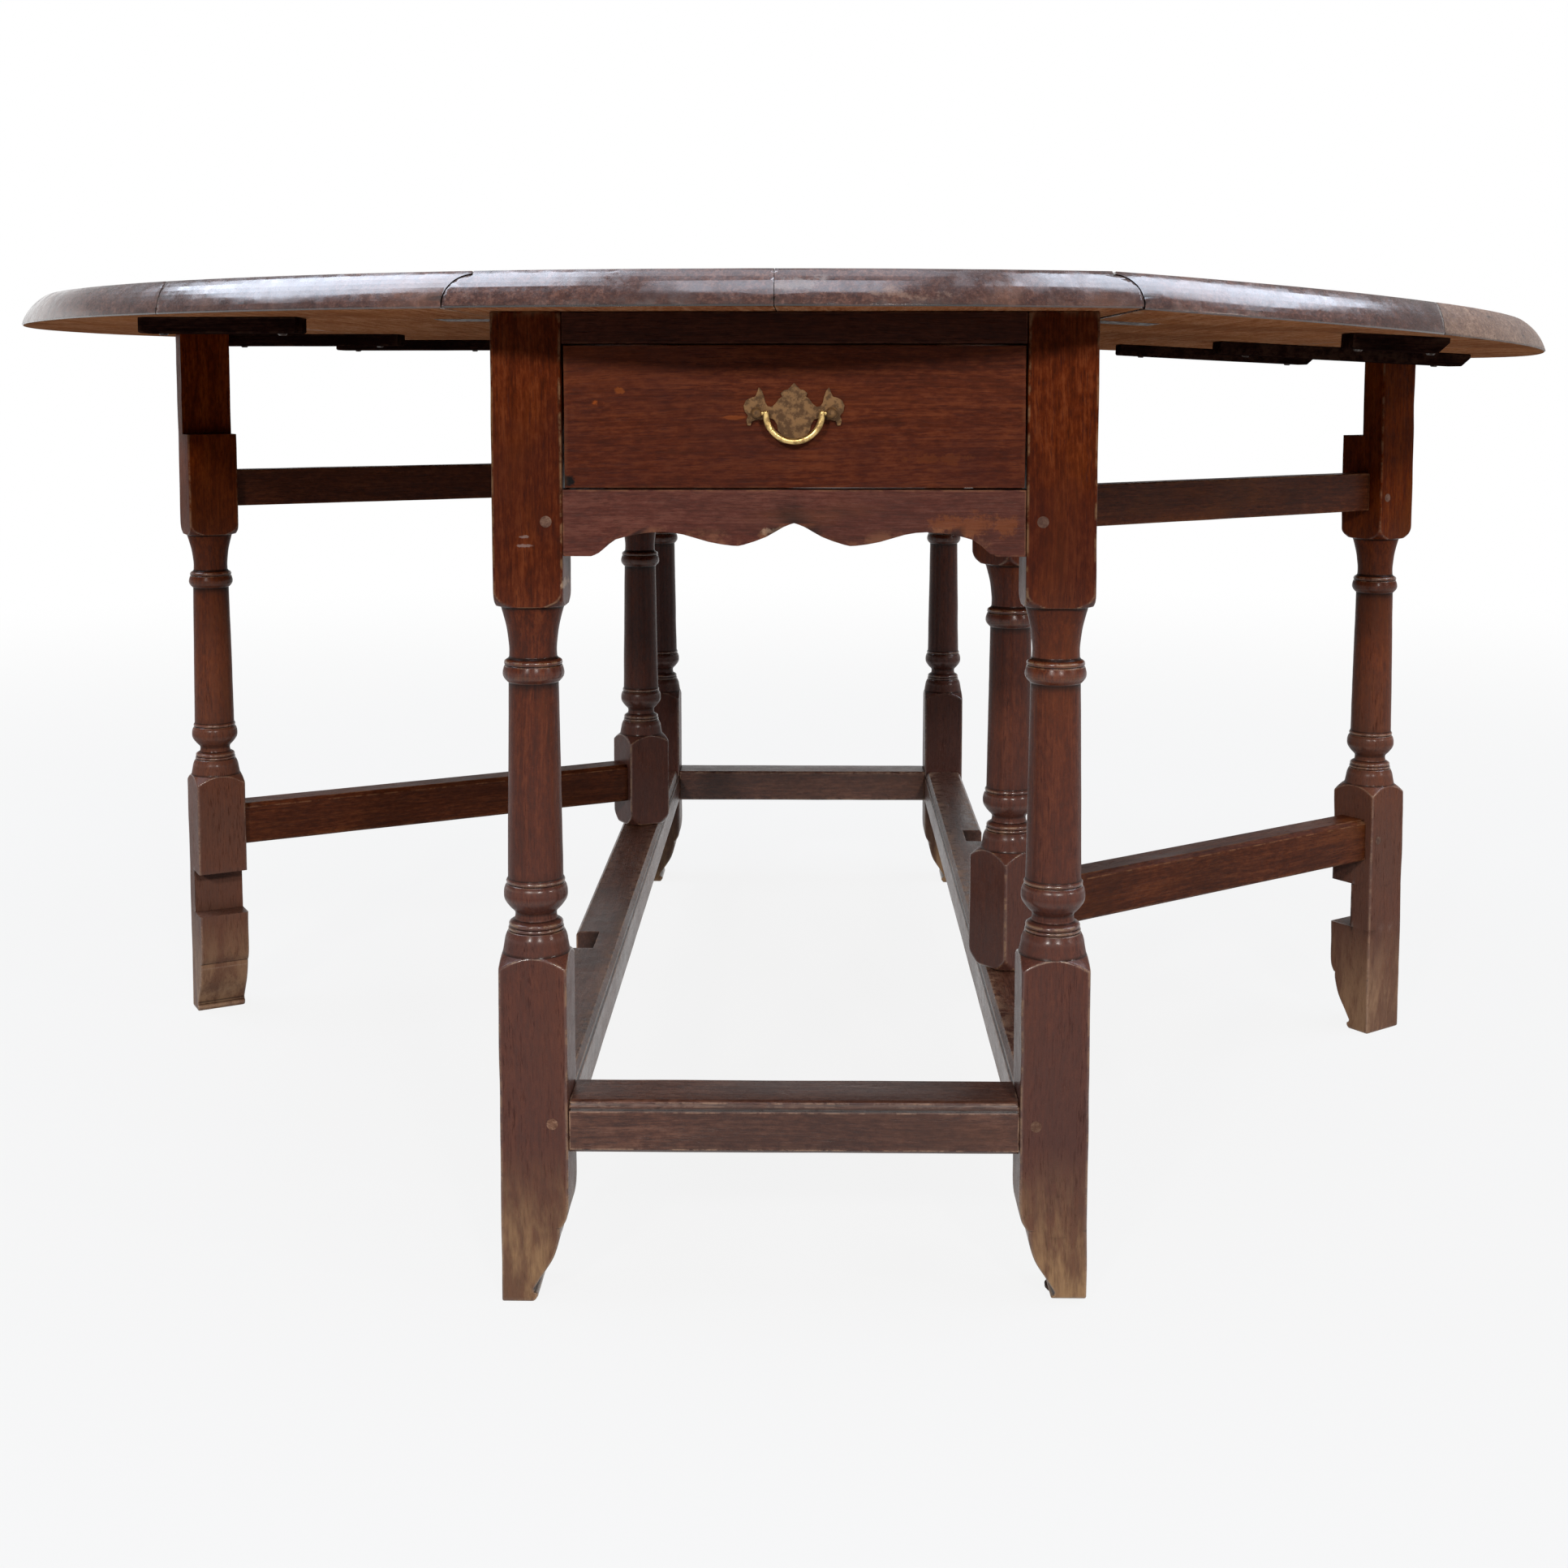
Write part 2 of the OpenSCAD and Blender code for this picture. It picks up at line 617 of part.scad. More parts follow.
// each batten: start, end, front edge, back edge, in the axes of the underframe
function rim_batten(s, b, front) =
  let(y = rim_y(b[0]) - b[3], x0 = s * (top_r - b[0]) - frame_x, x1 = s * (top_r - b[1]) - frame_x)
  [min(x0, x1), max(x0, x1), front ? -y : y - b[2], front ? -y + b[2] : y];
function stop_batten(s, b, y) =
  let(x0 = s * (top_r - b[0]) - frame_x, x1 = s * (top_r - b[1]) - frame_x)
  [min(x0, x1), max(x0, x1), s < 0 ? y : y - b[2], s < 0 ? y + b[2] : y];
function battens(s) = s < 0
  ? [rim_batten(-1, rim_battens_left[0], true), stop_batten(-1, stop_batten_left, stop_y_l),
     rim_batten(-1, rim_battens_left[1], false)]
  : [rim_batten(1, rim_battens_right[0], true), stop_batten(1, stop_batten_right, stop_y_r),
     rim_batten(1, rim_battens_right[1], false)];

module batten(s, i) {
  b = battens(s)[i];
  e = s > 0 ? 8 : 1.5;
  difference() {
    translate([0, b[3], 0]) rotate([90, 0, 0]) linear_extrude(b[3] - b[2]) polygon([
      [b[0], under_z], [b[0], under_z - batten_t + 1.5], [b[0] + 1.5, under_z - batten_t],
      [b[1] - e, under_z - batten_t], [b[1], under_z - batten_t + e], [b[1], under_z]]);
    batten_nail_set(s, 0.05);
  }
}

// two nails in each batten, driven up into the boards
module batten_nail_set(s, g) {
  for (b = battens(s), t = [0.12, 0.88])
    translate([b[0] + (b[1] - b[0]) * t, (b[2] + b[3]) / 2, under_z - batten_t]) {
      if (g > 0) {
        translate([0, 0, -3]) cylinder(r = 1.4 + g, h = batten_t + 14);
      } else {
        cylinder(r = 1.4, h = batten_t + 10);
        translate([0, 0, -1.3]) cylinder(r1 = 2.6, r2 = 3.6, h = 1.3);
      }
    }
}

module batten_left_front() color([0.15, 0.09, 0.06]) at_frame() batten(-1, 0);

module batten_left_stop() color([0.15, 0.09, 0.06]) at_frame() batten(-1, 1);

module batten_left_back() color([0.15, 0.09, 0.06]) at_frame() batten(-1, 2);

module batten_right_front() color([0.15, 0.09, 0.06]) lowered() at_frame() batten(1, 0);

module batten_right_stop() color([0.15, 0.09, 0.06]) lowered() at_frame() batten(1, 1);

module batten_right_back() color([0.15, 0.09, 0.06]) lowered() at_frame() batten(1, 2);

module batten_nails_left() color([0.17, 0.16, 0.15]) at_frame() batten_nail_set(-1, 0);

module batten_nails_right() color([0.17, 0.16, 0.15])
  lowered() at_frame() batten_nail_set(1, 0);

// hinges, drawn for the right side with the plate of the centre board

module screw_hole() {
  translate([0, 0, under_z - 0.01]) cylinder(r1 = 3.7, r2 = 1.9, h = plate_t + 0.02);
}

module screw() {
  translate([0, 0, under_z]) {
    cylinder(r1 = 3.6, r2 = 1.8, h = plate_t);
    translate([0, 0, plate_t]) cylinder(r = 1.8, h = screw_l - plate_t);
  }
}

module centre_plate() {
  w = hinge_w / 2;
  for (y = hinge_ys) translate([0, y, 0]) difference() {
    union() {
      bx([seam_x - 40, -w, under_z], [seam_x - 4, w, under_z + plate_t]);
      bx([seam_x - 4.5, -9.8, under_z], [seam_x, 9.8, under_z + plate_t]);
      ycyl(seam_x, -9.8, 9.8, hinge_z, knuckle_r);
    }
    ycyl(seam_x, -w - 1, w + 1, hinge_z, pin_r + 0.02);
    for (d = [-screw_dy, screw_dy]) translate([seam_x - screw_in, d, 0]) screw_hole();
  }
}

module leaf_plate() {
  w = hinge_w / 2;
  for (y = hinge_ys) translate([0, y, 0]) difference() {
    union() {
      bx([seam_x + 4, -w, under_z], [seam_x + 70, w, under_z + plate_t]);
      for (m = [0, 1]) mirror([0, m, 0]) {
        bx([seam_x, 10.2, under_z], [seam_x + 4.5, w, under_z + plate_t]);
        ycyl(seam_x, 10.2, w, hinge_z, knuckle_r);
      }
    }
    ycyl(seam_x, -w - 1, w + 1, hinge_z, pin_r + run);
    for (d = [-screw_dy, screw_dy]) translate([seam_x + screw_out, d, 0]) screw_hole();
  }
}

module hinge_plates_centre() color([0.22, 0.21, 0.2]) at_frame() {
  centre_plate();
  mirror([1, 0, 0]) centre_plate();
}

module hinge_plates_left() color([0.22, 0.21, 0.2])
  at_frame() mirror([1, 0, 0]) leaf_plate();

module hinge_plates_right() color([0.22, 0.21, 0.2]) lowered() at_frame() leaf_plate();

module hinge_pins() color([0.25, 0.24, 0.23]) at_frame() {
  for (s = [-1, 1], y = hinge_ys)
    ycyl(s * seam_x, y - hinge_w / 2, y + hinge_w / 2, hinge_z, pin_r);
}

module hinge_screws_centre() color([0.24, 0.23, 0.22]) at_frame() {
  for (s = [-1, 1], y = hinge_ys, d = [-screw_dy, screw_dy])
    translate([s * (seam_x - screw_in), y + d, 0]) screw();
}

module hinge_screws_left() color([0.24, 0.23, 0.22]) at_frame() {
  for (y = hinge_ys, d = [-screw_dy, screw_dy])
    translate([-seam_x - screw_out, y + d, 0]) screw();
}

module hinge_screws_right() color([0.24, 0.23, 0.22]) lowered() at_frame() {
  for (y = hinge_ys, d = [-screw_dy, screw_dy])
    translate([seam_x + screw_out, y + d, 0]) screw();
}

// gates, drawn closed along +X from the pivot, outer side towards -Y

module gate_at(s) {
  at_frame() translate([s * leg_x, -s * post_y, 0])
    rotate(s > 0 ? ang_right : ang_left) children();
}

// pegs of the gate joints at the post and at the leg; g widens them for the holes
module gate_peg_set(g) {
  a = leg_sq / 2;
  r = peg_r + g;
  for (x = [a - 10, gate_len - a + 10]) {
    ycyl(x, -a - g, 10 + g, gate_up_z + 13, r);
    ycyl(x, -a - g, 10 + g, gate_lo_z + gate_lo_h / 2, r);
  }
}

// mortises in the post or in the leg; d is +1 where the rails leave towards +X
module gate_mortises(d) {
  a = leg_sq / 2;
  x0 = d > 0 ? a - gate_tenon - 1 : -a - 1;
  x1 = d > 0 ? a + 1 : -a + gate_tenon + 1;
  bx([x0, -5 - fit / 2, gate_up_z + 5 - fit / 2], [x1, 5 + fit / 2, gate_up_z + gate_up_h - 5 + fit / 2]);
  bx([x0, -6 - fit / 2, gate_lo_z + 5 - fit / 2], [x1, 6 + fit / 2, gate_lo_z + gate_lo_h - 5 + fit / 2]);
}

module gate_post() {
  difference() {
    union() {
      turned(str_top + swing_gap, rail_z - swing_gap,
        [[27 * k, str_top - 0.5], [29 * k, str_top + 3], [33 * k, str_top + 9], [36 * k, str_top + 18]]);
      translate([0, 0, rail_z - 2]) cylinder(r = 7, h = 27);
      translate([0, 0, str_top - 23]) cylinder(r = 8, h = 25);
    }
    gate_mortises(1);
    gate_peg_set(fit / 2);
  }
}

module gate_leg(top) {
  a = leg_sq / 2;
  difference() {
    translate([gate_len, 0, 0]) difference() {
      turned(0, top);
      // half lap over the side rail
      bx([-a - 1, -swing_gap, gate_step], [a + 1, a + 1, top + 1]);
      // notch that passes the side stretcher
      bx([-a - 1, -swing_gap, notch_z0], [a + 1, a + 1, notch_z1]);
      rotate(90) foot_cut();
      gate_mortises(-1);
    }
    gate_peg_set(fit / 2);
  }
}

module gate_rail_upper() {
  a = leg_sq / 2;
  difference() {
    union() {
      bx([a, -up_t / 2, gate_up_z], [gate_len - a, up_t / 2, gate_up_z + gate_up_h]);
      bx([a - gate_tenon, -5, gate_up_z + 5],
         [gate_len - a + gate_tenon, 5, gate_up_z + gate_up_h - 5]);
    }
    gate_peg_set(fit / 2);
  }
}

module gate_rail_lower() {
  a = leg_sq / 2;
  difference() {
    union() {
      translate([gate_len - a, 0, 0]) rotate([90, 0, -90]) linear_extrude(gate_len - 2 * a)
        polygon([
          [-lo_t / 2, gate_lo_z + 2], [-lo_t / 2 + 2, gate_lo_z], [lo_t / 2 - 2, gate_lo_z],
          [lo_t / 2, gate_lo_z + 2], [lo_t / 2, gate_lo_z + gate_lo_h - 4],
          [lo_t / 2 - 4, gate_lo_z + gate_lo_h], [-lo_t / 2 + 4, gate_lo_z + gate_lo_h],
          [-lo_t / 2, gate_lo_z + gate_lo_h - 4]]);
      bx([a - gate_tenon, -6, gate_lo_z + 5],
         [gate_len - a + gate_tenon, 6, gate_lo_z + gate_lo_h - 5]);
    }
    gate_peg_set(fit / 2);
  }
}

module gate_post_left() color([0.34, 0.18, 0.12]) gate_at(-1) gate_post();

module gate_leg_left() color([0.32, 0.17, 0.11]) gate_at(-1) gate_leg(gate_top_l);

module gate_rail_upper_left() color([0.3, 0.16, 0.1]) gate_at(-1) gate_rail_upper();

module gate_rail_lower_left() color([0.34, 0.2, 0.13]) gate_at(-1) gate_rail_lower();

module gate_pegs_left() color([0.2, 0.11, 0.07]) gate_at(-1) gate_peg_set(0);

module gate_post_right() color([0.34, 0.18, 0.12]) gate_at(1) gate_post();

module gate_leg_right() color([0.32, 0.17, 0.11]) gate_at(1) gate_leg(gate_top_r);

module gate_rail_upper_right() color([0.3, 0.16, 0.1]) gate_at(1) gate_rail_upper();

module gate_rail_lower_right() color([0.34, 0.2, 0.13]) gate_at(1) gate_rail_lower();

module gate_pegs_right() color([0.2, 0.11, 0.07]) gate_at(1) gate_peg_set(0);

// drawer

// outline of the dovetails in the plane of a side, y from 0 at the front's back face
module tails(g) {
  n = 3;
  p = box_h / n;
  for (i = [0:n - 1])
    polygon([
      [0.5, box_z0 + p * i + 8 - g], [0.5, box_z0 + p * i + p - 8 + g],
      [-12 - g, box_z0 + p * i + p - 5 + g], [-12 - g, box_z0 + p * i + 5 - g]]);
}

// the dovetails of the right side, solid through the thickness of the side
module tail_blocks(g) {
  translate([box_x - side_t - g, -pull_y + front_t, 0]) rotate([90, 0, 90])
    linear_extrude(side_t + 2 * g) tails(g);
}

module drawer_front() color([0.37, 0.2, 0.12]) at_frame() difference() {
  bx([-in_x + 1.5, -pull_y, open_z0 + 1.2], [in_x - 1.5, -pull_y + front_t, open_z1 - 1.2]);
  for (m = [0, 1]) mirror([m, 0, 0]) tail_blocks(0.05);
  // groove for the bottom
  bx([-box_x + side_t - 5, -pull_y + front_t - 6, box_z0 + 4 - 0.05],
     [box_x - side_t + 5, -pull_y + front_t + 1, box_z0 + 12.05]);
  for (s = [-1, 1]) ycyl(s * post_dx, -pull_y - 1, -pull_y + front_t + 1, pull_z, 2.25);
}

module drawer_side() {
  difference() {
    union() {
      bx([box_x - side_t, -pull_y + front_t, box_z0], [box_x, -face_y + drawer_l, box_z0 + box_h]);
      tail_blocks(0);
    }
    // groove that hangs the drawer on its runner
    bx([runner_x - 1.5, -in_y + 2, runner_z0 - 1.2], [box_x + 1, 0, runner_z0 + runner_h + 0.4]);
    // groove for the bottom, and housing for the back
    bx([box_x - side_t - 1, -pull_y + front_t - 13, box_z0 + 4 - 0.05],
       [box_x - side_t + 5.1, -face_y + drawer_l + 1, box_z0 + 12.05]);
    bx([box_x - side_t - 1, -face_y + drawer_l - 26.1, box_z0 + 12],
       [box_x - side_t + 5.1, -face_y + drawer_l - 11.9, box_z0 + box_h + 1]);
  }
}

module drawer_side_right() color([0.5, 0.35, 0.22]) at_frame() drawer_side();

module drawer_side_left() color([0.5, 0.35, 0.22]) at_frame() mirror([1, 0, 0]) drawer_side();

module drawer_back() color([0.5, 0.35, 0.22]) at_frame()
  bx([-box_x + side_t - 5, -face_y + drawer_l - 26, box_z0 + 12.05],
     [box_x - side_t + 5, -face_y + drawer_l - 12, box_z0 + box_h - 4]);

module drawer_bottom() color([0.52, 0.37, 0.24]) at_frame()
  bx([-box_x + side_t - 5 + 0.05, -pull_y + front_t - 5.9, box_z0 + 4],
     [box_x - side_t + 5 - 0.05, -face_y + drawer_l, box_z0 + 12]);

// pull: shaped back plate, two posts with nuts, hanging bail

plate_half = [
  [0, 20.6], [1.8, 18.6], [4.1, 16.2], [6.6, 15.6], [9.2, 13.4], [8.2, 11.2], [10.5, 9.5],
  [12.8, 6.2], [15.5, 4.2], [18, 4.6], [19.6, 7.2], [20.4, 11], [21.8, 15], [24, 17.6],
  [25, 14.6], [26.4, 11.2], [29.5, 10.4], [32.8, 8.6], [34.4, 5], [33.6, 1], [31.4, -1.8],
  [32.6, -5], [31.8, -8.4], [29.6, -8.6], [28.6, -5.6], [25.5, -4.8], [21, -4.4], [17, -3.4],
  [13.6, -4.6], [11.6, -8], [11, -12], [8.4, -15], [4.6, -16.8], [0, -17.6]
];

module pull_plate() color([0.62, 0.47, 0.2]) at_frame() difference() {
  n = len(plate_half);
  translate([0, -pull_y, pull_z]) rotate([90, 0, 0]) linear_extrude(plate_thick)
    polygon(concat(plate_half, [for (i = [n - 2:-1:1]) [-plate_half[i][0], plate_half[i][1]]]));
  for (s = [-1, 1]) ycyl(s * post_dx, -pull_y - 3, -pull_y + 1, pull_z, 2.25);
}

module pull_posts() color([0.7, 0.54, 0.24]) at_frame() {
  for (s = [-1, 1]) difference() {
    translate([s * post_dx, 0, pull_z]) rotate([90, 0, 0]) rotate_extrude() polygon([
      [0, pull_y - front_t - 6], [2.2, pull_y - front_t - 6], [2.2, pull_y + 1.5],
      [4.2, pull_y + 1.5], [4.2, pull_y + 2.5], [2.6, pull_y + 3.4], [3.2, pull_y + 4.6],
      [3.7, pull_y + 6.2], [3.7, pull_y + 8.8], [3, pull_y + 10.4], [1.6, pull_y + 11.4],
      [0, pull_y + 11.7]]);
    xcyl(s * post_dx - (s > 0 ? 6 : 3.5), s * post_dx + (s > 0 ? 3.5 : 6), bail_y, pull_z,
         1.6 + run);
  }
}

module pull_nuts() color([0.6, 0.45, 0.2]) at_frame() {
  for (s = [-1, 1]) difference() {
    translate([s * post_dx, -pull_y + front_t + 4, pull_z]) rotate([90, 0, 0])
      cylinder(r = 5, h = 4, $fn = 6);
    ycyl(s * post_dx, -pull_y + front_t - 1, -pull_y + front_t + 5, pull_z, 2.22);
  }
}

module bail() color([0.85, 0.72, 0.42]) at_frame() translate([0, bail_y, pull_z]) {
  intersection() {
    rotate([90, 0, 0]) rotate_extrude() translate([bail_r, 0]) circle(r = 2.2);
    translate([-40, -10, -40]) cube([80, 20, 40]);
  }
  for (m = [0, 1]) mirror([m, 0, 0]) {
    translate([bail_r, 0, 0]) sphere(r = 2.2);
    xcyl(bail_r - 0.5, post_dx + 2.5, 0, 0, 1.6);
  }
}

leg_front_left();
leg_front_right();
leg_back_left();
leg_back_right();
rail_side_left();
rail_side_right();
rail_back();
rail_front_top();
apron_front();
stretcher_front();
stretcher_back();
stretcher_left();
stretcher_right();
runner_left();
runner_right();
runner_nails();
top_board_left();
top_board_right();
frame_pegs();
top_pegs();
hinge_plates_centre();
hinge_pins();
hinge_screws_centre();
foot_glide();
leaf_left_inner();
leaf_left_outer();
batten_left_front();
batten_left_stop();
batten_left_back();
hinge_plates_left();
hinge_screws_left();
batten_nails_left();
leaf_right_inner();
leaf_right_outer();
batten_right_front();
batten_right_stop();
batten_right_back();
hinge_plates_right();
hinge_screws_right();
batten_nails_right();
gate_post_left();
gate_leg_left();
gate_rail_upper_left();
gate_rail_lower_left();
gate_pegs_left();
gate_post_right();
gate_leg_right();
gate_rail_upper_right();
gate_rail_lower_right();
gate_pegs_right();
drawer_front();
drawer_side_left();
drawer_side_right();
drawer_back();
drawer_bottom();
pull_plate();
pull_posts();
pull_nuts();
bail();
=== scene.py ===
"""Looks of a round gateleg table in old waxed oak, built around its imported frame."""

import json
import logging
import math
from dataclasses import dataclass
from enum import Enum
from typing import Any, Iterable, Optional, Sequence

import bmesh
import bpy
import numpy as np
from mathutils import Matrix, Vector

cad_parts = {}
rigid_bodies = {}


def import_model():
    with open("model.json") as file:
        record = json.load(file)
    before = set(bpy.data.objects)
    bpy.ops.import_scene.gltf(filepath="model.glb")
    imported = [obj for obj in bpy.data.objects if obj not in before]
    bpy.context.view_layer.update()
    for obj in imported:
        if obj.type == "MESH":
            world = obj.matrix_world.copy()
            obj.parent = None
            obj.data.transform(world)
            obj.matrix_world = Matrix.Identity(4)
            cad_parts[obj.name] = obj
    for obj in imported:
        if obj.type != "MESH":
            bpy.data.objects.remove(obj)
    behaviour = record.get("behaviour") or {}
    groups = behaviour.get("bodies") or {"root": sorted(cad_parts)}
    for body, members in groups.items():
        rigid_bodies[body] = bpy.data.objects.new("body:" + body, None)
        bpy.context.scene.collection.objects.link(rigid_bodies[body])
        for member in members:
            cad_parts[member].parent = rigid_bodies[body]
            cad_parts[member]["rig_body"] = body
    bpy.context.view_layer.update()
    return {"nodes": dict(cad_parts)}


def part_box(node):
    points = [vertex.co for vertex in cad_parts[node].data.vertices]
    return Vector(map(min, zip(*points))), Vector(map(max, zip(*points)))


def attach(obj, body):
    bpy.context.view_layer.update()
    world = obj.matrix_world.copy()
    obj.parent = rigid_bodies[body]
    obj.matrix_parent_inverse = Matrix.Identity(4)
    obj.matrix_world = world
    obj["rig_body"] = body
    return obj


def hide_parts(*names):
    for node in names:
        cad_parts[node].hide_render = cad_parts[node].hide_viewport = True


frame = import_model()

LOG = logging.getLogger("gateleg_table")
MM = 0.001
Colour = tuple[float, float, float]
Profile = list[tuple[float, float]]
Socket = bpy.types.NodeSocket
BMesh = bmesh.types.BMesh

# Sizes in millimetres, as in the construction; a pivot has a radius and a length
LEG_SQUARE = 49.0
FOOT_BLOCK = 246.0
HEAD_START = 505.0
POST_LOW = 146.5
POST_HIGH = 599.5
PIVOT_LOW = (8.0, 22.0)
PIVOT_HIGH = (7.0, 25.0)
LAP_START = 598.5
NOTCH = (105.0, 149.0)
FRONT_FACE = -611.0
TOP_RADIUS = 704.0
UNDERSIDE = 700.0
TOP_THICKNESS = 25.0
NOSE_RADIUS = 42.5
NOSE_DROP = 12.0
NOSE_CENTRE = TOP_RADIUS - math.sqrt(NOSE_RADIUS ** 2 - NOSE_DROP ** 2)

# Hinge line of the right leaf in metres, and the angle by which that leaf hangs
HINGE_X = 0.225
HINGE_Z = 0.703
DROOP = math.radians(3.0)

# Heights in metres between which scuffs, dust with its painted sheen, and the polish of ridges
# fade
SCUFF_FADE = (0.01, 0.12)
DUST_AND_SHEEN_FADE = (0.12, 0.62)
POLISH_FADE = (0.47, 0.53)

# Dirt that sits in hollows, and depth of the relief in metres
WOOD_GRIME = (0.008, 0.005, 0.004)
METAL_GRIME = (0.012, 0.008, 0.005)
WOOD_RELIEF = 0.0007
METAL_RELIEF = 0.00015

# Bend of the surface at which wear and grime start, and over how much they grow to full
WEAR_BEND = (0.03, 0.22)
GRIME_BEND = (0.02, 0.16)

# Gap in millimetres between two rings of a turned bar that form a step
STEP_GAP = 0.02

# A face is on the underside of a board when its normal points down more than this
UNDERSIDE_NORMAL = -0.9


class Grain(Enum):
    """Which way the fibres of a straight piece run."""

    UP = (0.0, 0.0, 1.0)
    ACROSS = (1.0, 0.0, 0.0)
    DEEP = (0.0, 1.0, 0.0)

    @property
    def way(self) -> Vector:
        """The direction as a vector."""
        return Vector(self.value)


class Layer(Enum):
    """Names of the vertex attributes that carry the signs of use."""

    WEAR = "wear"
    GRIME = "grime"


# Shader building


class NodeSheet:
    """Adds nodes to one new material or world and joins them."""

    def __init__(self, owner: bpy.types.ID) -> None:
        """Start an empty node tree.

        Args:
            owner: the new material or world.
        """
        self.owner = owner
        owner.use_nodes = True
        self.tree = owner.node_tree
        self.tree.nodes.clear()

    def node(self, kind: str, inputs: Optional[dict] = None, **settings: Any) -> bpy.types.Node:
        """Add one node.

        Args:
            kind: Blender's name of the node type, without its first word.
            inputs: sockets or plain values by input name or number.
            **settings: properties of the node.

        Returns:
            The new node.
        """
        made = self.tree.nodes.new("ShaderNode" + kind)
        for key, value in settings.items():
            setattr(made, key, value)
        for key, value in (inputs or {}).items():
            if isinstance(value, Socket):
                self.tree.links.new(value, made.inputs[key])
            else:
                made.inputs[key].default_value = value
        return made

    def maths(self, operation: str, a: Any, b: Any, clamp: bool = False) -> Socket:
        """Join two numbers with one operation and return the result."""
        return self.node("Math", {0: a, 1: b}, operation=operation, use_clamp=clamp).outputs[0]

    def times(self, a: Any, b: Any, clamp: bool = False) -> Socket:
        """Multiply two numbers."""
        return self.maths("MULTIPLY", a, b, clamp)

    def plus(self, a: Any, b: Any, clamp: bool = False) -> Socket:
        """Add two numbers."""
        return self.maths("ADD", a, b, clamp)

    def vectors(self, operation: str, a: Any, b: Sequence[float] = (0, 0, 0)) -> bpy.types.Node:
        """Join two vectors with one operation and return the node."""
        return self.node("VectorMath", {0: a, 1: b}, operation=operation)

    def stretch(self, vector: Any, by: Sequence[float]) -> Socket:
        """Multiply a vector by fixed amounts along its three axes."""
        return self.vectors("MULTIPLY", vector, tuple(by)).outputs[0]

    def places(self) -> Socket:
        """Places in the object's own coordinates, in metres."""
        return self.node("TexCoord").outputs["Object"]

    def moved(self, vector: Any, shift: Any, turn: Any = (0, 0, 0)) -> Socket:
        """Turn and shift places."""
        return self.node("Mapping", {"Vector": vector, "Location": shift,
                                     "Rotation": turn}).outputs[0]

    def length(self, vector: Any) -> Socket:
        """Length of a vector."""
        return self.vectors("LENGTH", vector).outputs["Value"]

    def height(self, vector: Any) -> Socket:
        """Third number of a vector."""
        return self.node("SeparateXYZ", {0: vector}).outputs[2]

    def noise(self, vector: Any, by: Sequence[float], detail: float, rough: float,
              colour: bool = False) -> Socket:
        """Noise around 0.5 over a vector, with a number of cells per metre along each axis."""
        made = self.node("TexNoise", {"Vector": self.stretch(vector, by), "Scale": 1.0,
                                      "Detail": detail, "Roughness": rough})
        return made.outputs["Color" if colour else "Fac"]

    def span(self, value: Any, low: float, high: float, to_low: Any = 0.0,
             to_high: Any = 1.0) -> Socket:
        """Ease a number from one range to another, held at the ends."""
        return self.node("MapRange", {"Value": value, "From Min": low, "From Max": high,
                                      "To Min": to_low, "To Max": to_high},
                         interpolation_type="SMOOTHSTEP").outputs["Result"]

    @staticmethod
    def full(colour: Any) -> Any:
        """Give a plain colour its fourth number."""
        return colour if isinstance(colour, Socket) else (*colour, 1.0)

    def blend(self, share: Any, a: Any, b: Any) -> Socket:
        """Mix two colours, with a share of the second."""
        return self.node("Mix", {0: share, 6: self.full(a), 7: self.full(b)},
                         data_type="RGBA").outputs[2]

    def ramp(self, value: Any, stops: Sequence[tuple[float, Colour]]) -> Socket:
        """Colour ramp.

        Args:
            value: number from 0 to 1.
            stops: places on the ramp with their colours.

        Returns:
            The colour.
        """
        made = self.node("ValToRGB", {0: value})
        bar = made.color_ramp.elements
        while len(bar) < len(stops):
            bar.new(0.5)
        for element, (place, colour) in zip(bar, stops):
            element.position = place
            element.color = (*colour, 1.0)
        return made.outputs[0]

    def layer(self, which: Layer) -> Socket:
        """Read one of the vertex attributes."""
        return self.node("Attribute", attribute_name=which.value).outputs["Fac"]

    def mixed(self, output: str, share: Any, a: bpy.types.Node, b: bpy.types.Node) -> None:
        """Finish the sheet with a mix of two shaders, with a share of the second."""
        both = self.node("MixShader", {0: share, 1: a.outputs[0], 2: b.outputs[0]})
        self.node(output, {"Surface": both.outputs[0]})

    def surface(self, inputs: dict, bump: Any, depth: float,
                strength: float) -> bpy.types.Material:
        """Finish the material with its surface shader.

        Args:
            inputs: inputs of the surface shader.
            bump: height that is pressed into the surface.
            depth: depth of the relief in metres.
            strength: strength of the relief.

        Returns:
            The material.
        """
        relief = self.node("Bump", {"Height": bump, "Distance": depth, "Strength": strength})
        shader = self.node("BsdfPrincipled", {**inputs, "Normal": relief.outputs[0]})
        self.node("OutputMaterial", {"Surface": shader.outputs[0]})
        return self.owner


@dataclass(frozen=True)
class Mark:
    """One mark on a piece's colour, on a front piece unless it says otherwise: mostly marks of
    use, a few painted sheen and a painted reflection.

    Attributes:
        x, z: its place in millimetres.
        wide, tall: its half sizes in millimetres.
        colour: its colour.
        share: its strength.
        y: its place from front to back.
        deep: its half depth.
    """

    x: float
    z: float
    wide: float
    tall: float
    colour: Colour
    share: float = 0.8
    y: float = FRONT_FACE
    deep: float = 30.0


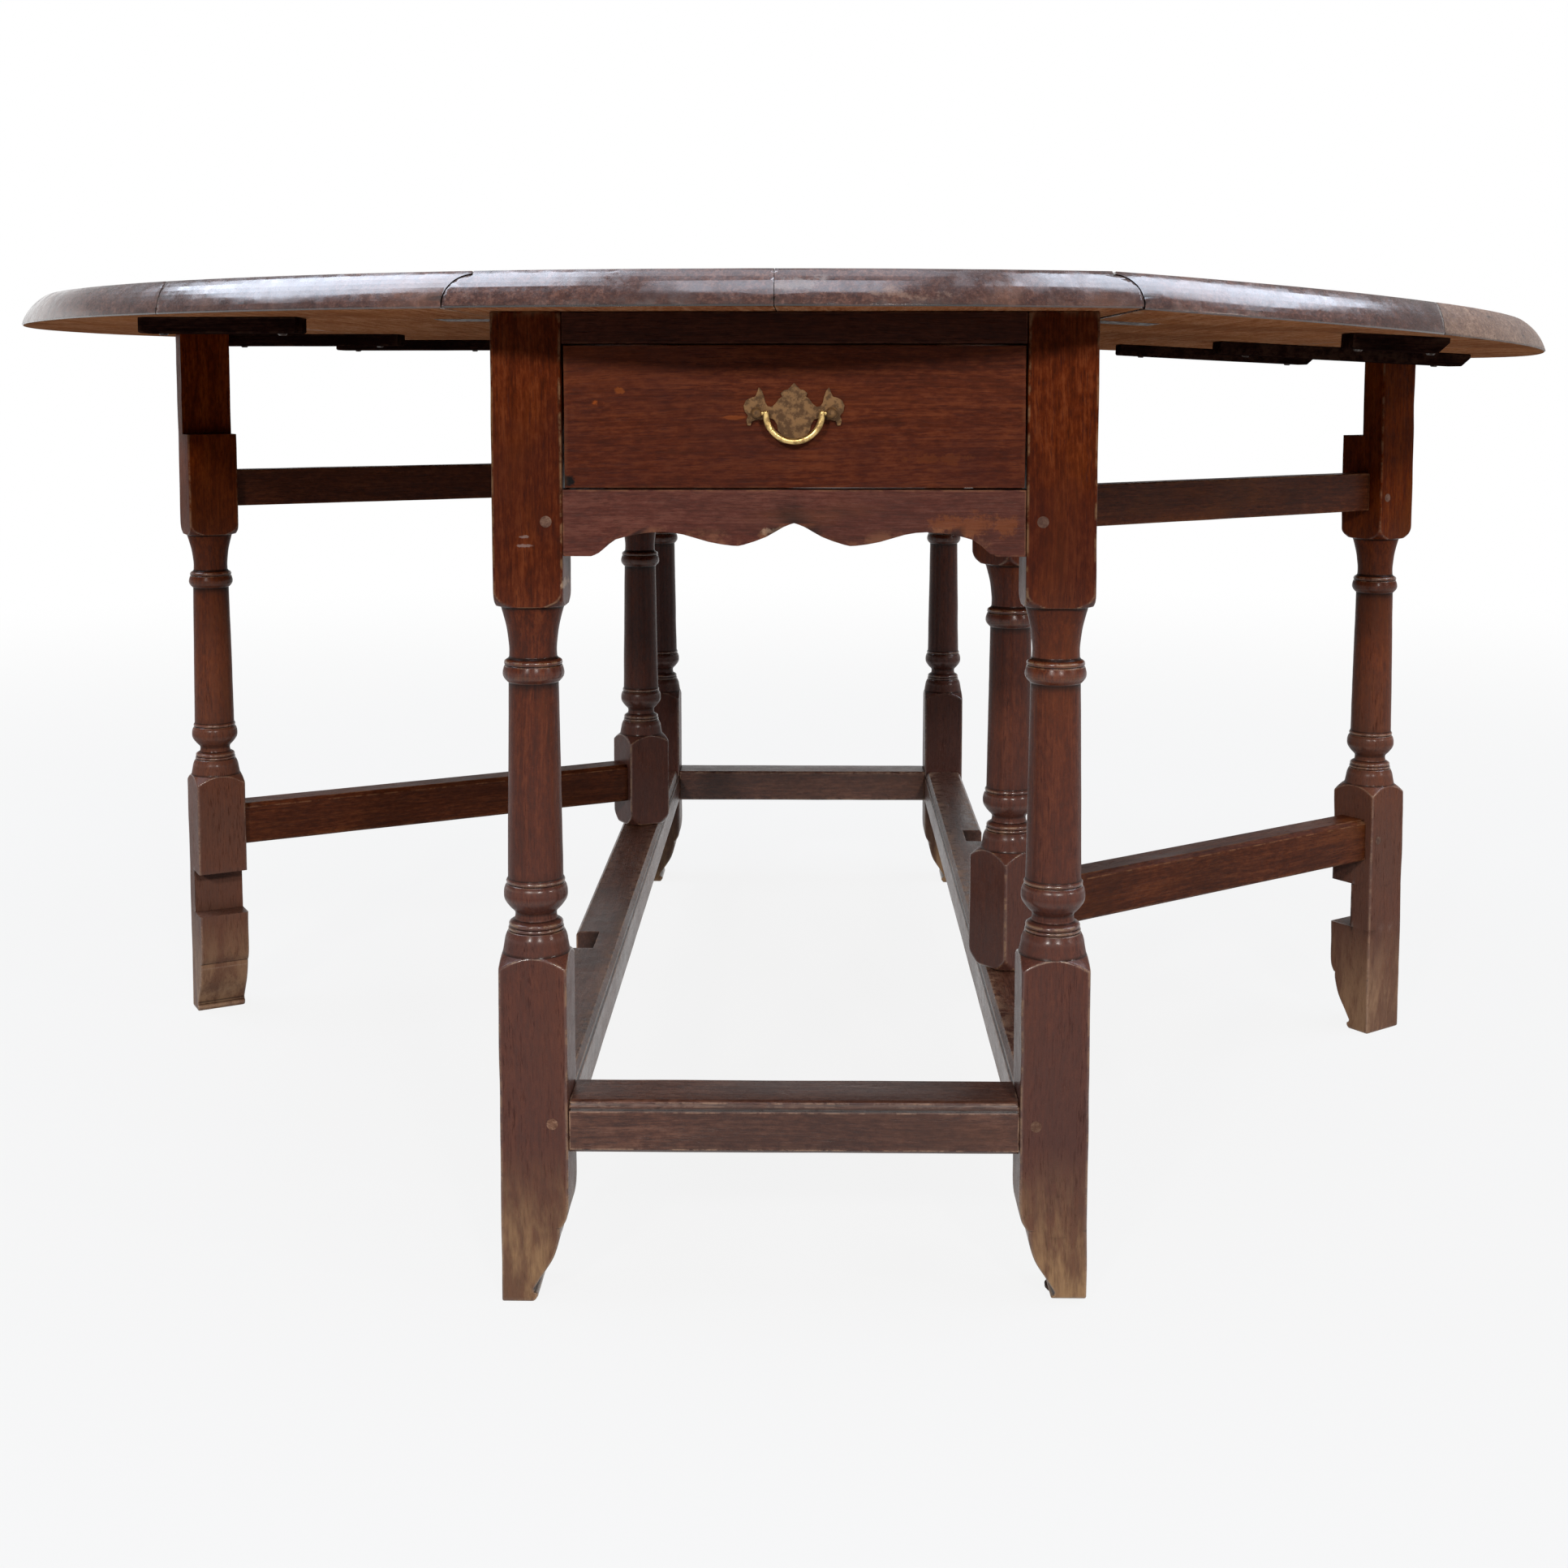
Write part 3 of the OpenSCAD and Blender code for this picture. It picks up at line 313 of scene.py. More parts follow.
@dataclass(frozen=True)
class OakFinish:
    """One finish of the old oak.

    Attributes:
        name: name of the finish.
        dark, mid, light: colours of the fibres.
        stain, warm, worn: colours of dark patches, reddish patches and bare edges.
        stain_share, warm_share, worn_share, grime_share: strength of each.
        floor_wear: how far the finish pales near the floor.
        dust_and_sheen, dust_and_sheen_share: colour that greys the piece towards the floor,
            partly dust and partly a painted sheen of the pale floor, and its strength.
        rough, shine: roughness and strength of the reflections under the coat.
        coat, coat_rough, coat_index: weight, roughness and refractive index of the wax coat.
        polish: further coat on the rubbed ridges; such a coat ends below the head.
        relief, ring_share: strength of the grain's relief and of the growth rings.
        marks: marks on the pieces with this finish, mostly of use, a few painted sheen and a
            painted reflection.
        slot: the record's slot, where it isn't the finish's own name; not used.
    """

    name: str
    dark: Colour
    mid: Colour
    light: Colour
    stain: Colour
    warm: Colour
    worn: Colour
    stain_share: float = 0.5
    warm_share: float = 0.45
    worn_share: float = 0.4
    grime_share: float = 0.85
    floor_wear: float = 0.0
    dust_and_sheen: Colour = (0.110, 0.055, 0.042)
    dust_and_sheen_share: float = 0.0
    rough: float = 0.42
    coat: float = 0.0
    coat_rough: float = 0.24
    coat_index: float = 1.5
    polish: float = 0.0
    shine: float = 0.2
    relief: float = 0.5
    ring_share: float = 0.5
    marks: tuple[Mark, ...] = ()
    slot: str = ""

    def material(self, name: str, fibre: Vector, seed: int) -> bpy.types.Material:
        """Build the finish for one piece."""
        return OakSheet(self, name, fibre, seed).build()


class OakSheet(NodeSheet):
    """Nodes of one oak material, in steps that lay colours over each other."""

    def __init__(self, finish: OakFinish, name: str, fibre: Vector, seed: int) -> None:
        """Colour the fibres and keep the patterns that later steps use.

        Args:
            finish: colours and shares.
            name: name of the piece.
            fibre: direction in which the fibres run.
            seed: number that shifts the pattern.
        """
        super().__init__(bpy.data.materials.new(f"{finish.name}_{name}"))
        self.finish = finish
        turn = fibre.rotation_difference(Grain.UP.way).to_euler()
        shift = (0.37 * seed % 3.1, 0.61 * seed % 2.7, 0.83 * seed % 4.3)
        self.place = self.places()
        straight = self.moved(self.place, shift, turn)
        sway = self.noise(straight, (5, 5, 2.2), 2, 0.5, colour=True)
        sway = self.stretch(sway, (0.03, 0.03, 0.0))
        self.wood = self.vectors("ADD", straight, sway).outputs[0]
        figure = self.noise(self.wood, (26, 26, 1.3), 2, 0.45)
        rings = self.maths("PINGPONG", self.times(figure, 16.0), 1.0)
        self.fibres = self.noise(self.wood, (620, 620, 28), 4, 0.6)
        pores = self.span(self.noise(self.wood, (1200, 1200, 75), 2, 0.6), 0.55, 0.68)
        self.pores = self.times(pores, self.span(rings, 0.25, 0.75, 0.35, 1.0))
        self.breakup = self.noise(self.place, (75, 75, 75), 5, 0.7)
        self.rise = self.height(self.place)
        bare = self.span(self.layer(Layer.WEAR), 0.15, 0.9)
        self.bare = self.times(bare, self.span(self.breakup, 0.42, 0.6))
        specks = self.noise(self.wood, (330, 330, 120), 4, 0.7)
        streaks = self.noise(self.wood, (170, 170, 7), 3, 0.55)
        tone = self.total((self.fibres, 0.4), (streaks, 0.25), (specks, 0.5),
                          (rings, 0.12 * finish.ring_share))
        stops = [(0.0, finish.dark), (0.5, finish.mid), (1.0, finish.light)]
        self.colour = self.ramp(self.span(tone, 0.44, 0.78), stops)

    def cover(self, share: Any, colour: Colour) -> None:
        """Blend a colour over what is there."""
        self.colour = self.blend(share, self.colour, colour)

    def total(self, *parts: tuple[Any, float]) -> Socket:
        """Add up numbers.

        Args:
            *parts: pairs of a number and its weight.

        Returns:
            The sum.
        """
        first, *others = [self.times(value, weight) for value, weight in parts]
        for other in others:
            first = self.plus(first, other)
        return first

    def patches(self) -> None:
        """Lay rubbed patches, stains, dust with a painted sheen, and dark pores over the fibres.
        """
        finish = self.finish
        cloud = self.span(self.noise(self.wood, (17, 17, 5), 4, 0.62), 0.5, 0.68)
        self.cover(self.times(cloud, finish.warm_share), finish.warm)
        broad = self.span(self.noise(self.place, (6, 6, 6), 4, 0.6), 0.46, 0.64)
        self.cover(self.times(broad, finish.stain_share), finish.stain)
        # Greyer towards the floor: dust, and a painted sheen that stands for the pale floor's
        # reflection
        if finish.dust_and_sheen_share > 0:
            self.cover(self.span(self.rise, *DUST_AND_SHEEN_FADE, finish.dust_and_sheen_share, 0.0), finish.dust_and_sheen)
        self.cover(self.times(self.pores, 0.65), finish.stain)

    def marks(self) -> None:
        """Lay the marks over the colour, each with a broken edge: marks of use and a few painted
        sheens.
        """
        edge = self.span(self.breakup, 0.3, 0.7, 0.6, -0.6)
        for mark in self.finish.marks:
            centre = [c * MM for c in (mark.x, mark.y, mark.z)]
            size = [1 / (c * MM) for c in (mark.wide, mark.deep, mark.tall)]
            away = self.vectors("SUBTRACT", self.place, centre).outputs[0]
            away = self.plus(self.length(self.stretch(away, size)), edge)
            self.cover(self.span(away, 0.5, 1.0, mark.share, 0.0), mark.colour)

    def wear(self) -> None:
        """Lay scuffs near the floor, worn edges and grime over the colour."""
        finish = self.finish
        if finish.floor_wear > 0:
            scuff = self.span(self.noise(self.wood, (60, 60, 14), 4, 0.7), 0.38, 0.62, 0.25, 1.0)
            low = self.span(self.rise, *SCUFF_FADE, finish.floor_wear, 0.0)
            self.cover(self.times(low, scuff), finish.worn)
        self.cover(self.times(self.bare, finish.worn_share, clamp=True), finish.worn)
        grime = self.times(self.layer(Layer.GRIME), finish.grime_share, clamp=True)
        self.cover(grime, WOOD_GRIME)

    def coat(self) -> Any:
        """Wax coat, with a polish on the ridges below the head where the finish has one.

        Returns:
            The weight of the coat.
        """
        if self.finish.polish <= 0:
            return self.finish.coat
        ridges = self.times(self.layer(Layer.WEAR), self.finish.polish)
        coat = self.plus(ridges, self.finish.coat, clamp=True)
        return self.times(coat, self.span(self.rise, *POLISH_FADE, 1.0, 0.0))

    def build(self) -> bpy.types.Material:
        """Join the steps.

        Returns:
            The material.
        """
        self.patches()
        self.marks()
        self.wear()
        smear = self.span(self.noise(self.wood, (22, 22, 7), 4, 0.6), 0.3, 0.7, -0.05, 0.07)
        gloss = self.plus(smear, self.finish.rough)
        gloss = self.total((gloss, 1.0), (self.pores, 0.15), (self.bare, 0.12))
        waxed = self.span(self.breakup, 0.38, 0.62, -0.05, 0.09)
        dents = self.span(self.noise(self.place, (48, 48, 48), 3, 0.55), 0.25, 0.45)
        relief = self.total((self.fibres, 0.55), (self.pores, -0.6), (dents, 0.7))
        inputs = {"Base Color": self.colour, "Roughness": gloss, "Coat Weight": self.coat(),
                  "Coat Roughness": self.plus(waxed, self.finish.coat_rough),
                  "Coat IOR": self.finish.coat_index, "IOR": 1.5,
                  "Specular IOR Level": self.finish.shine}
        return self.surface(inputs, relief, WOOD_RELIEF, self.finish.relief)


@dataclass(frozen=True)
class MetalFinish:
    """One finish of the small metal pieces.

    Attributes:
        name: name of the finish.
        bright, dull: colours of clean metal and of tarnish.
        tarnish: share of the surface that is dull.
        rough, metallic: how rough and how metallic the clean surface is.
    """

    name: str
    bright: Colour
    dull: Colour
    tarnish: float = 0.5
    rough: float = 0.3
    metallic: float = 1.0

    def material(self, name: str, seed: int = 0) -> bpy.types.Material:
        """Build the finish for one piece.

        Args:
            name: name of the piece.
            seed: number that shifts the pattern.

        Returns:
            The material.
        """
        sheet = NodeSheet(bpy.data.materials.new(f"{self.name}_{name}"))
        place = sheet.moved(sheet.places(), (seed * 0.31, seed * 0.17, 0))
        cloud = sheet.noise(place, (210, 210, 210), 5, 0.65)
        fine = sheet.noise(place, (1500, 1500, 1500), 3, 0.6)
        edge = 0.5 + 0.25 * (0.5 - self.tarnish)
        rubbed = sheet.times(sheet.layer(Layer.WEAR), 0.6)
        dull = sheet.span(cloud, edge - 0.09, edge + 0.09)
        dull = sheet.maths("SUBTRACT", dull, rubbed, clamp=True)
        colour = sheet.blend(dull, self.bright, self.dull)
        grime = sheet.times(sheet.layer(Layer.GRIME), 0.8, clamp=True)
        colour = sheet.blend(grime, colour, METAL_GRIME)
        gloss = sheet.span(dull, 0.0, 1.0, self.rough, min(self.rough + 0.3, 0.85))
        gloss = sheet.plus(gloss, sheet.times(fine, 0.12))
        metal = sheet.span(dull, 0.0, 1.0, self.metallic, self.metallic * 0.55)
        relief = sheet.plus(sheet.times(cloud, 0.8), fine)
        return sheet.surface({"Base Color": colour, "Roughness": gloss, "Metallic": metal},
                             relief, METAL_RELIEF, 0.6)


# Each oak starts with its name and its colours: dark, mid, light, stain, warm, worn
# The dust colours of the legs and gates also hold a painted sheen of the pale floor
OAK_LEGS = OakFinish(
    "oak_legs", (0.036, 0.006, 0.001), (0.08, 0.013, 0.002), (0.132, 0.03, 0.008),
    (0.032, 0.008, 0.006), (0.15, 0.034, 0.005), (0.34, 0.205, 0.105), floor_wear=0.85,
    dust_and_sheen=(0.096, 0.048, 0.04), dust_and_sheen_share=0.66, warm_share=0.35, rough=0.4, shine=0.03, coat=0.2,
    polish=1.3,
    # The first two marks, pale grey streaks low on the front left leg's head, are painted sheen
    marks=(Mark(-170.5, 546, 6, 1.2, (0.3, 0.24, 0.22), 0.4),
           Mark(-169.5, 540, 5, 1.1, (0.3, 0.24, 0.22), 0.4),
           Mark(-143.5, 513, 2.5, 4, (0.33, 0.22, 0.15)),
           Mark(168, 500, 9, 3, (0.19, 0.085, 0.04), 0.6)))
OAK_GATES = OakFinish(
    "oak_gates", (0.054, 0.007, 0.001), (0.118, 0.018, 0.001), (0.18, 0.036, 0.004),
    (0.04, 0.008, 0.002), (0.21, 0.048, 0.004), (0.32, 0.19, 0.11), floor_wear=0.85,
    dust_and_sheen=(0.118, 0.06, 0.044), dust_and_sheen_share=0.75, warm_share=0.6, rough=0.4, shine=0.02, coat=0.1,
    polish=0.9, slot="oak_legs")
OAK_FRONT = OakFinish(
    "oak_front", (0.036, 0.007, 0.002), (0.068, 0.013, 0.004), (0.112, 0.027, 0.009),
    (0.036, 0.009, 0.007), (0.115, 0.025, 0.005), (0.18, 0.07, 0.03), warm_share=0.4,
    worn_share=0.2, shine=0.06, ring_share=0.8,
    marks=(Mark(-121, 638, 6, 4, (0.3, 0.065, 0.01), 0.7),
           Mark(-104, 646, 4, 2.5, (0.22, 0.055, 0.01), 0.6),
           Mark(-30, 628, 9, 1.6, (0.2, 0.05, 0.012), 0.6),
           Mark(118, 600, 26, 4, (0.14, 0.036, 0.009), 0.35),
           Mark(-141.5, 584.5, 6, 5, (0.004, 0.003, 0.003), 1.0)))
# A darker copy of the front oak for the rail under the top: painted shadow of the top's rim
OAK_SHADED = OakFinish(
    "oak_shaded", (0.02, 0.005, 0.003), (0.036, 0.009, 0.004), (0.06, 0.016, 0.008),
    (0.018, 0.005, 0.003), (0.06, 0.016, 0.006), (0.12, 0.05, 0.026), warm_share=0.2, rough=0.45,
    shine=0.06, slot="oak_front")
OAK_APRON = OakFinish(
    "oak_apron", (0.045, 0.012, 0.008), (0.08, 0.02, 0.013), (0.125, 0.041, 0.028),
    (0.05, 0.017, 0.012), (0.23, 0.075, 0.022), (0.27, 0.12, 0.06), stain_share=0.4,
    warm_share=0.3, worn_share=0.35, shine=0.12, ring_share=0.8, slot="oak_front",
    marks=(Mark(138, 553, 28, 9, (0.2, 0.058, 0.015), 0.42),
           Mark(3, 550, 9, 3, (0.34, 0.22, 0.15))))
OAK_RAILS = OakFinish(
    "oak_rails", (0.034, 0.007, 0.002), (0.07, 0.016, 0.005), (0.115, 0.032, 0.011),
    (0.026, 0.007, 0.003), (0.17, 0.048, 0.009), (0.23, 0.105, 0.05), warm_share=0.5,
    worn_share=0.6, shine=0.1)
OAK_STRETCHERS = OakFinish(
    "oak_stretchers", (0.036, 0.013, 0.009), (0.082, 0.031, 0.019), (0.14, 0.062, 0.04),
    (0.03, 0.012, 0.009), (0.13, 0.05, 0.024), (0.36, 0.22, 0.145), warm_share=0.3,
    worn_share=0.75, rough=0.4, coat=0.3, coat_rough=0.28)
OAK_TOP = OakFinish(
    "oak_top", (0.026, 0.008, 0.006), (0.06, 0.021, 0.014), (0.125, 0.055, 0.038),
    (0.026, 0.009, 0.007), (0.15, 0.07, 0.044), (0.2, 0.12, 0.09), stain_share=0.65,
    warm_share=0.5, worn_share=0.15, rough=0.34, coat=1.0, coat_rough=0.17, coat_index=1.62,
    shine=0.08,
    # The first mark, a pale grey patch on the rim right of the centre joint, is a painted
    # reflection
    marks=(Mark(22, 716, 24, 7, (0.24, 0.2, 0.18), 0.35, -702, 12),
           Mark(95, 709, 40, 5, (0.19, 0.11, 0.075), 0.5, -702, 12),
           Mark(-90, 707, 60, 5, (0.034, 0.012, 0.009), 0.6, -702, 12),
           Mark(-205, 706, 30, 6, (0.21, 0.13, 0.09), 0.5, -690, 16)))
OAK_REPLACED = OakFinish(
    "oak_replaced", (0.08, 0.042, 0.028), (0.16, 0.092, 0.06), (0.25, 0.16, 0.11),
    (0.07, 0.036, 0.024), (0.18, 0.09, 0.05), (0.32, 0.22, 0.165), stain_share=0.4, rough=0.5,
    coat=0.12, shine=0.25)
OAK_RAW = OakFinish(
    "oak_raw", (0.29, 0.098, 0.035), (0.48, 0.18, 0.072), (0.62, 0.3, 0.145),
    (0.26, 0.088, 0.033), (0.56, 0.21, 0.072), (0.56, 0.33, 0.19), worn_share=0.8,
    grime_share=0.6, rough=0.8, shine=0.0, ring_share=0.9)
# Battens kept nearly black, as dark as the shade under the leaves: painted shade
OAK_BATTENS_PAINTED_SHADE = OakFinish(
    "oak_battens", (0.009, 0.003, 0.003), (0.02, 0.008, 0.006), (0.042, 0.018, 0.012),
    (0.008, 0.003, 0.003), (0.036, 0.013, 0.008), (0.08, 0.042, 0.026), stain_share=0.75,
    worn_share=0.5, rough=0.7, shine=0.0)
OAK_PEGS = OakFinish(
    "oak_pegs", (0.08, 0.034, 0.02), (0.19, 0.095, 0.06), (0.3, 0.18, 0.12), (0.04, 0.016, 0.01),
    (0.15, 0.066, 0.035), (0.26, 0.16, 0.11), worn_share=0.8, stain_share=0.75, rough=0.5)
IRON = MetalFinish("iron", bright=(0.12, 0.112, 0.105), dull=(0.045, 0.024, 0.016),
                   tarnish=0.6, rough=0.5, metallic=0.85)
BRASS_BAIL = MetalFinish("brass_bail", bright=(0.62, 0.44, 0.18), dull=(0.26, 0.16, 0.055),
                         tarnish=0.35, rough=0.26)
BRASS_PLATE = MetalFinish("brass_plate", bright=(0.15, 0.075, 0.024),
                          dull=(0.08, 0.038, 0.013), tarnish=0.5, rough=0.48, metallic=0.5)


# Mesh work


def value_noise(points: np.ndarray, seed: int = 0) -> np.ndarray:
    """Smooth noise from -1 to 1, one cell per unit.

    Args:
        points: rows of three numbers.
        seed: number that changes the pattern.

    Returns:
        One value per row.
    """
    cell = np.floor(points).astype(np.int64)
    part = points - cell
    part = part * part * (3.0 - 2.0 * part)
    total = np.zeros(len(points))
    for corner in range(8):
        step = np.array([corner & 1, corner >> 1 & 1, corner >> 2 & 1])
        # Large primes mix the numbers of the cell and the seed into one
        key = (cell + step) @ np.array([73856093, 19349663, 83492791]) + seed * 7919
        key = (key ^ (key >> 13)) * 1274126177 & 0x7FFFFFFF
        key = (key ^ (key >> 15)) * 668265263 & 0x7FFFFFFF
        share = np.prod(np.where(step, part, 1.0 - part), axis=1)
        total += share * (key / 0x3FFFFFFF - 1.0)
    return total


def smooth_curve(points: Sequence[tuple[float, float]], steps: int) -> Profile:
    """Smooth line through points.

    Args:
        points: points that the line meets.
        steps: short pieces between neighbours.

    Returns:
        The points of the line.
    """
    p = np.array(points, float)
    out: Profile = []
    for i in range(len(p) - 1):
        a, b, c, d = p[max(i - 1, 0)], p[i], p[i + 1], p[min(i + 2, len(p) - 1)]
        for t in np.arange(steps) / steps:
            q = 0.5 * (2 * b + (c - a) * t + (2 * a - 5 * b + 4 * c - d) * t * t
                       + (3 * b - a - 3 * c + d) * t ** 3)
            out.append((float(q[0]), float(q[1])))
    out.append((float(p[-1][0]), float(p[-1][1])))
    return out


def coordinates(bm: BMesh) -> np.ndarray:
    """Places of all points of a mesh in work."""
    return np.array([v.co for v in bm.verts], float).reshape(-1, 3)


def move_points(bm: BMesh, places: np.ndarray) -> None:
    """Give every point of a mesh in work its new place."""
    for vert, place in zip(bm.verts, places):
        vert.co = place


def placed(name: str, data: bpy.types.ID) -> bpy.types.Object:
    """Put a new object around its data into the scene.

    Args:
        name: name of the object.
        data: its mesh, light or camera.

    Returns:
        The object.
    """
    made = bpy.data.objects.new(name, data)
    bpy.context.scene.collection.objects.link(made)
    return made


def copy_of(node: str) -> BMesh:
    """Copy a part of the frame, with its flat faces joined.

    Args:
        node: name of the part.

    Returns:
        The copy as a mesh in work.
    """
    bm = bmesh.new()
    bm.from_mesh(frame["nodes"][node].data)
    bmesh.ops.remove_doubles(bm, verts=bm.verts, dist=2e-6)
    bmesh.ops.dissolve_limit(bm, angle_limit=math.radians(0.4), verts=bm.verts,
                             edges=bm.edges, delimit={"NORMAL"})
    return bm


def round_edges(bm: BMesh, width: float, segments: int = 3,
                shortest: float = 0.006, sharp: float = 32.0) -> None:
    """Round the long sharp edges.

    Args:
        bm: mesh in work.
        width: width of the rounding in metres.
        segments: steps across it.
        shortest: edges below this length stay sharp.
        sharp: least angle in degrees between the two faces.
    """
    edges = [e for e in bm.edges
             if len(e.link_faces) == 2 and e.calc_length() > shortest
             and e.calc_face_angle(0.0) > math.radians(sharp)]
    bmesh.ops.bevel(bm, geom=edges, offset=width, offset_type="OFFSET", segments=segments,
                    profile=0.5, affect="EDGES", material=-1, clamp_overlap=True)


def slice_mesh(bm: BMesh, along: Vector, places: Iterable[float]) -> None:
    """Cut loops through the whole mesh.

    Args:
        bm: mesh in work.
        along: direction across the cuts.
        places: where the cuts are, in metres along it.
    """
    for place in places:
        geom = list(bm.verts) + list(bm.edges) + list(bm.faces)
        bmesh.ops.bisect_plane(bm, geom=geom, dist=1e-6, plane_co=along * place, plane_no=along)


def spaced(low: float, high: float, step: float, edge: float) -> list[float]:
    """Cut places between two ends, with one close to each end."""
    count = max(1, round((high - low - 2 * edge) / step))
    return [low + edge + (high - low - 2 * edge) * i / count for i in range(count + 1)]


def signs_of_use(mesh: bpy.types.Mesh) -> None:
    """Write wear on rounded edges and grime in hollows as vertex attributes.

    Args:
        mesh: the finished mesh.
    """
    count = len(mesh.vertices)
    co, normal = np.empty((2, count * 3))
    mesh.vertices.foreach_get("co", co)
    mesh.vertex_normals.foreach_get("vector", normal)
    co, normal = co.reshape(-1, 3), normal.reshape(-1, 3)
    pairs = np.empty(len(mesh.edges) * 2, np.int64)
    mesh.edges.foreach_get("vertices", pairs)
    a, b = pairs.reshape(-1, 2).T
    gap = co[a] - co[b]
    square = np.maximum((gap ** 2).sum(1), 1e-10)
    bend = np.zeros(count)
    links = np.zeros(count)
    for end, weight in ((a, 2), (b, -2)):
        np.add.at(bend, end, weight * (normal[end] * gap).sum(1) / square)
        np.add.at(links, end, 1)
    bend = bend / np.maximum(links, 1) * MM
    for which, value, (start, growth) in ((Layer.WEAR, bend, WEAR_BEND),
                                          (Layer.GRIME, -bend, GRIME_BEND)):
        value = np.clip((value - start) / growth, 0, 1)
        if which is Layer.GRIME:
            total = value.copy()
            np.add.at(total, a, value[b])
            np.add.at(total, b, value[a])
            value = np.maximum(value, total / (links + 1))
        layer = mesh.attributes.new(which.value, "FLOAT", "POINT")
        layer.data.foreach_set("value", value.astype(np.float32))


def finished(bm: BMesh, name: str, crease: float = 50.0) -> bpy.types.Object:
    """Turn a mesh in work into an object with smooth shading.

    Args:
        bm: mesh in work, freed afterwards.
        name: name of the piece.
        crease: angle in degrees from which an edge stays crisp.

    Returns:
        The object, linked to the scene.
    """
    bmesh.ops.recalc_face_normals(bm, faces=bm.faces)
    if bm.calc_volume(signed=True) < 0:
        bmesh.ops.reverse_faces(bm, faces=bm.faces)
        LOG.info("%s: turned outward", name)
    mesh = bpy.data.meshes.new(name)
    bm.to_mesh(mesh)
    bm.free()
    mesh.shade_smooth()
    mesh.set_sharp_from_angle(angle=math.radians(crease))
    signs_of_use(mesh)
    piece = placed(name, mesh)
    piece.modifiers.new("even_shading", "WEIGHTED_NORMAL").keep_sharp = True
    return piece


def settle(piece: bpy.types.Object, node: str) -> None:
    """Let a piece stand for a part of the frame, on the same body.

    Args:
        piece: the finished piece.
        node: the part that it replaces.
    """
    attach(piece, frame["nodes"][node]["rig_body"])
    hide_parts(node)
    LOG.info("%s: %d faces for %s", piece.name, len(piece.data.polygons), node)


def dress(node: str, material: bpy.types.Material, edge: float = 0.0) -> None:
    """Give a part of the frame that stays its material, and soften its edges.

    Args:
        node: name of the part.
        material: its material.
        edge: width of the softened edges in metres.
    """
    part = frame["nodes"][node]
    part.data.materials.clear()
    part.data.materials.append(material)
    if edge > 0:
        weld = part.modifiers.new("weld", "WELD")
        weld.merge_threshold = 2e-6
        bevel = part.modifiers.new("bevel", "BEVEL")
        bevel.width = edge
        bevel.segments = 2
        bevel.limit_method = "ANGLE"
        bevel.angle_limit = math.radians(35)
    LOG.info("%s: dressed in %s", node, material.name)


def centre_of(node: str) -> Vector:
    """Middle of a part's box."""
    low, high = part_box(node)
    return (low + high) / 2


@dataclass
class TurnedPattern:
    """The turned pattern of legs and gate posts, as radius and height in millimetres.

    Attributes:
        steps: short pieces in each stretch of the curves.
        column: steps of the plain column.
    """

    steps: int = 5
    column: int = 28

    def low(self) -> Profile:
        """Draw the mouldings above the foot block.

        Returns:
            Their line, with heights from the top of that block.
        """
        s = self.steps
        line = smooth_curve([(36, -7), (30, -1.2), (24.6, 3)], s + 4)
        line += smooth_curve([(24.1, 4.4), (23.2, 9), (22.3, 14), (20.3, 18.5)], s)
        line += [(19.3, 18.9)]
        line += smooth_curve([(19.9, 19.4), (20.1, 20.3), (19.8, 21.1)], 3) + [(18.9, 21.6)]
        line += smooth_curve([(19.5, 22.2), (19.4, 24.2), (17.4, 25.7)], 4)
        line += smooth_curve([(15.6, 26.7), (15, 29.2), (15.4, 32.2), (18.9, 36), (22.3, 41),
                              (22.9, 45.4), (22.3, 49.6), (20.9, 52.2)], s)
        line += [(20.3, 52.7)]
        line += smooth_curve([(20.9, 53.3), (21.1, 54.6), (20, 56.4)], 3)
        return line + [(19.9, 57.6)]

    def high(self) -> Profile:
        """Draw the mouldings below the head block.

        Returns:
            Their line, with heights from the foot of that block.
        """
        s = self.steps
        line = [(17.9, -63.0)]
        line += smooth_curve([(18.9, -62.2), (21.4, -59), (21.9, -55.6), (20.7, -51)], s)
        line += [(20.1, -50.3)] + smooth_curve([(20.7, -49.6), (20.4, -47.6), (18.2, -46.2)], 4)
        line += smooth_curve([(17.1, -44.8), (16.9, -39), (17.4, -33), (18.6, -24),
                              (20.6, -15.5), (22.2, -9.8)], s) + [(22.6, -9.0)]
        return line + smooth_curve([(27, -8), (31.5, -4), (34, 1), (36, 6)], s + 2)

    def whole(self) -> Profile:
        """Join both ends by the plain column.

        Returns:
            The whole line, with heights from the floor.
        """
        low = [(r, FOOT_BLOCK + z) for r, z in self.low()]
        high = [(r, HEAD_START + z) for r, z in self.high()]
        start, end, count = low[-1], high[0], self.column
        return low + [(start[0] + (end[0] - start[0]) * i / count,
                       start[1] + (end[1] - start[1]) * i / count)
                      for i in range(1, count)] + high


FOOT_LINE = (smooth_curve([(0, 76), (0.5, 67), (2, 59.5), (5.2, 54)], 5)
             + smooth_curve([(6.6, 53.9), (7, 46), (11.5, 31.5), (20.5, 17.5), (26, 8.8)], 7)
             + [(25.4, 6.6), (23.3, 5.3), (23.1, 3.2), (24.6, 1), (25.2, 0)])


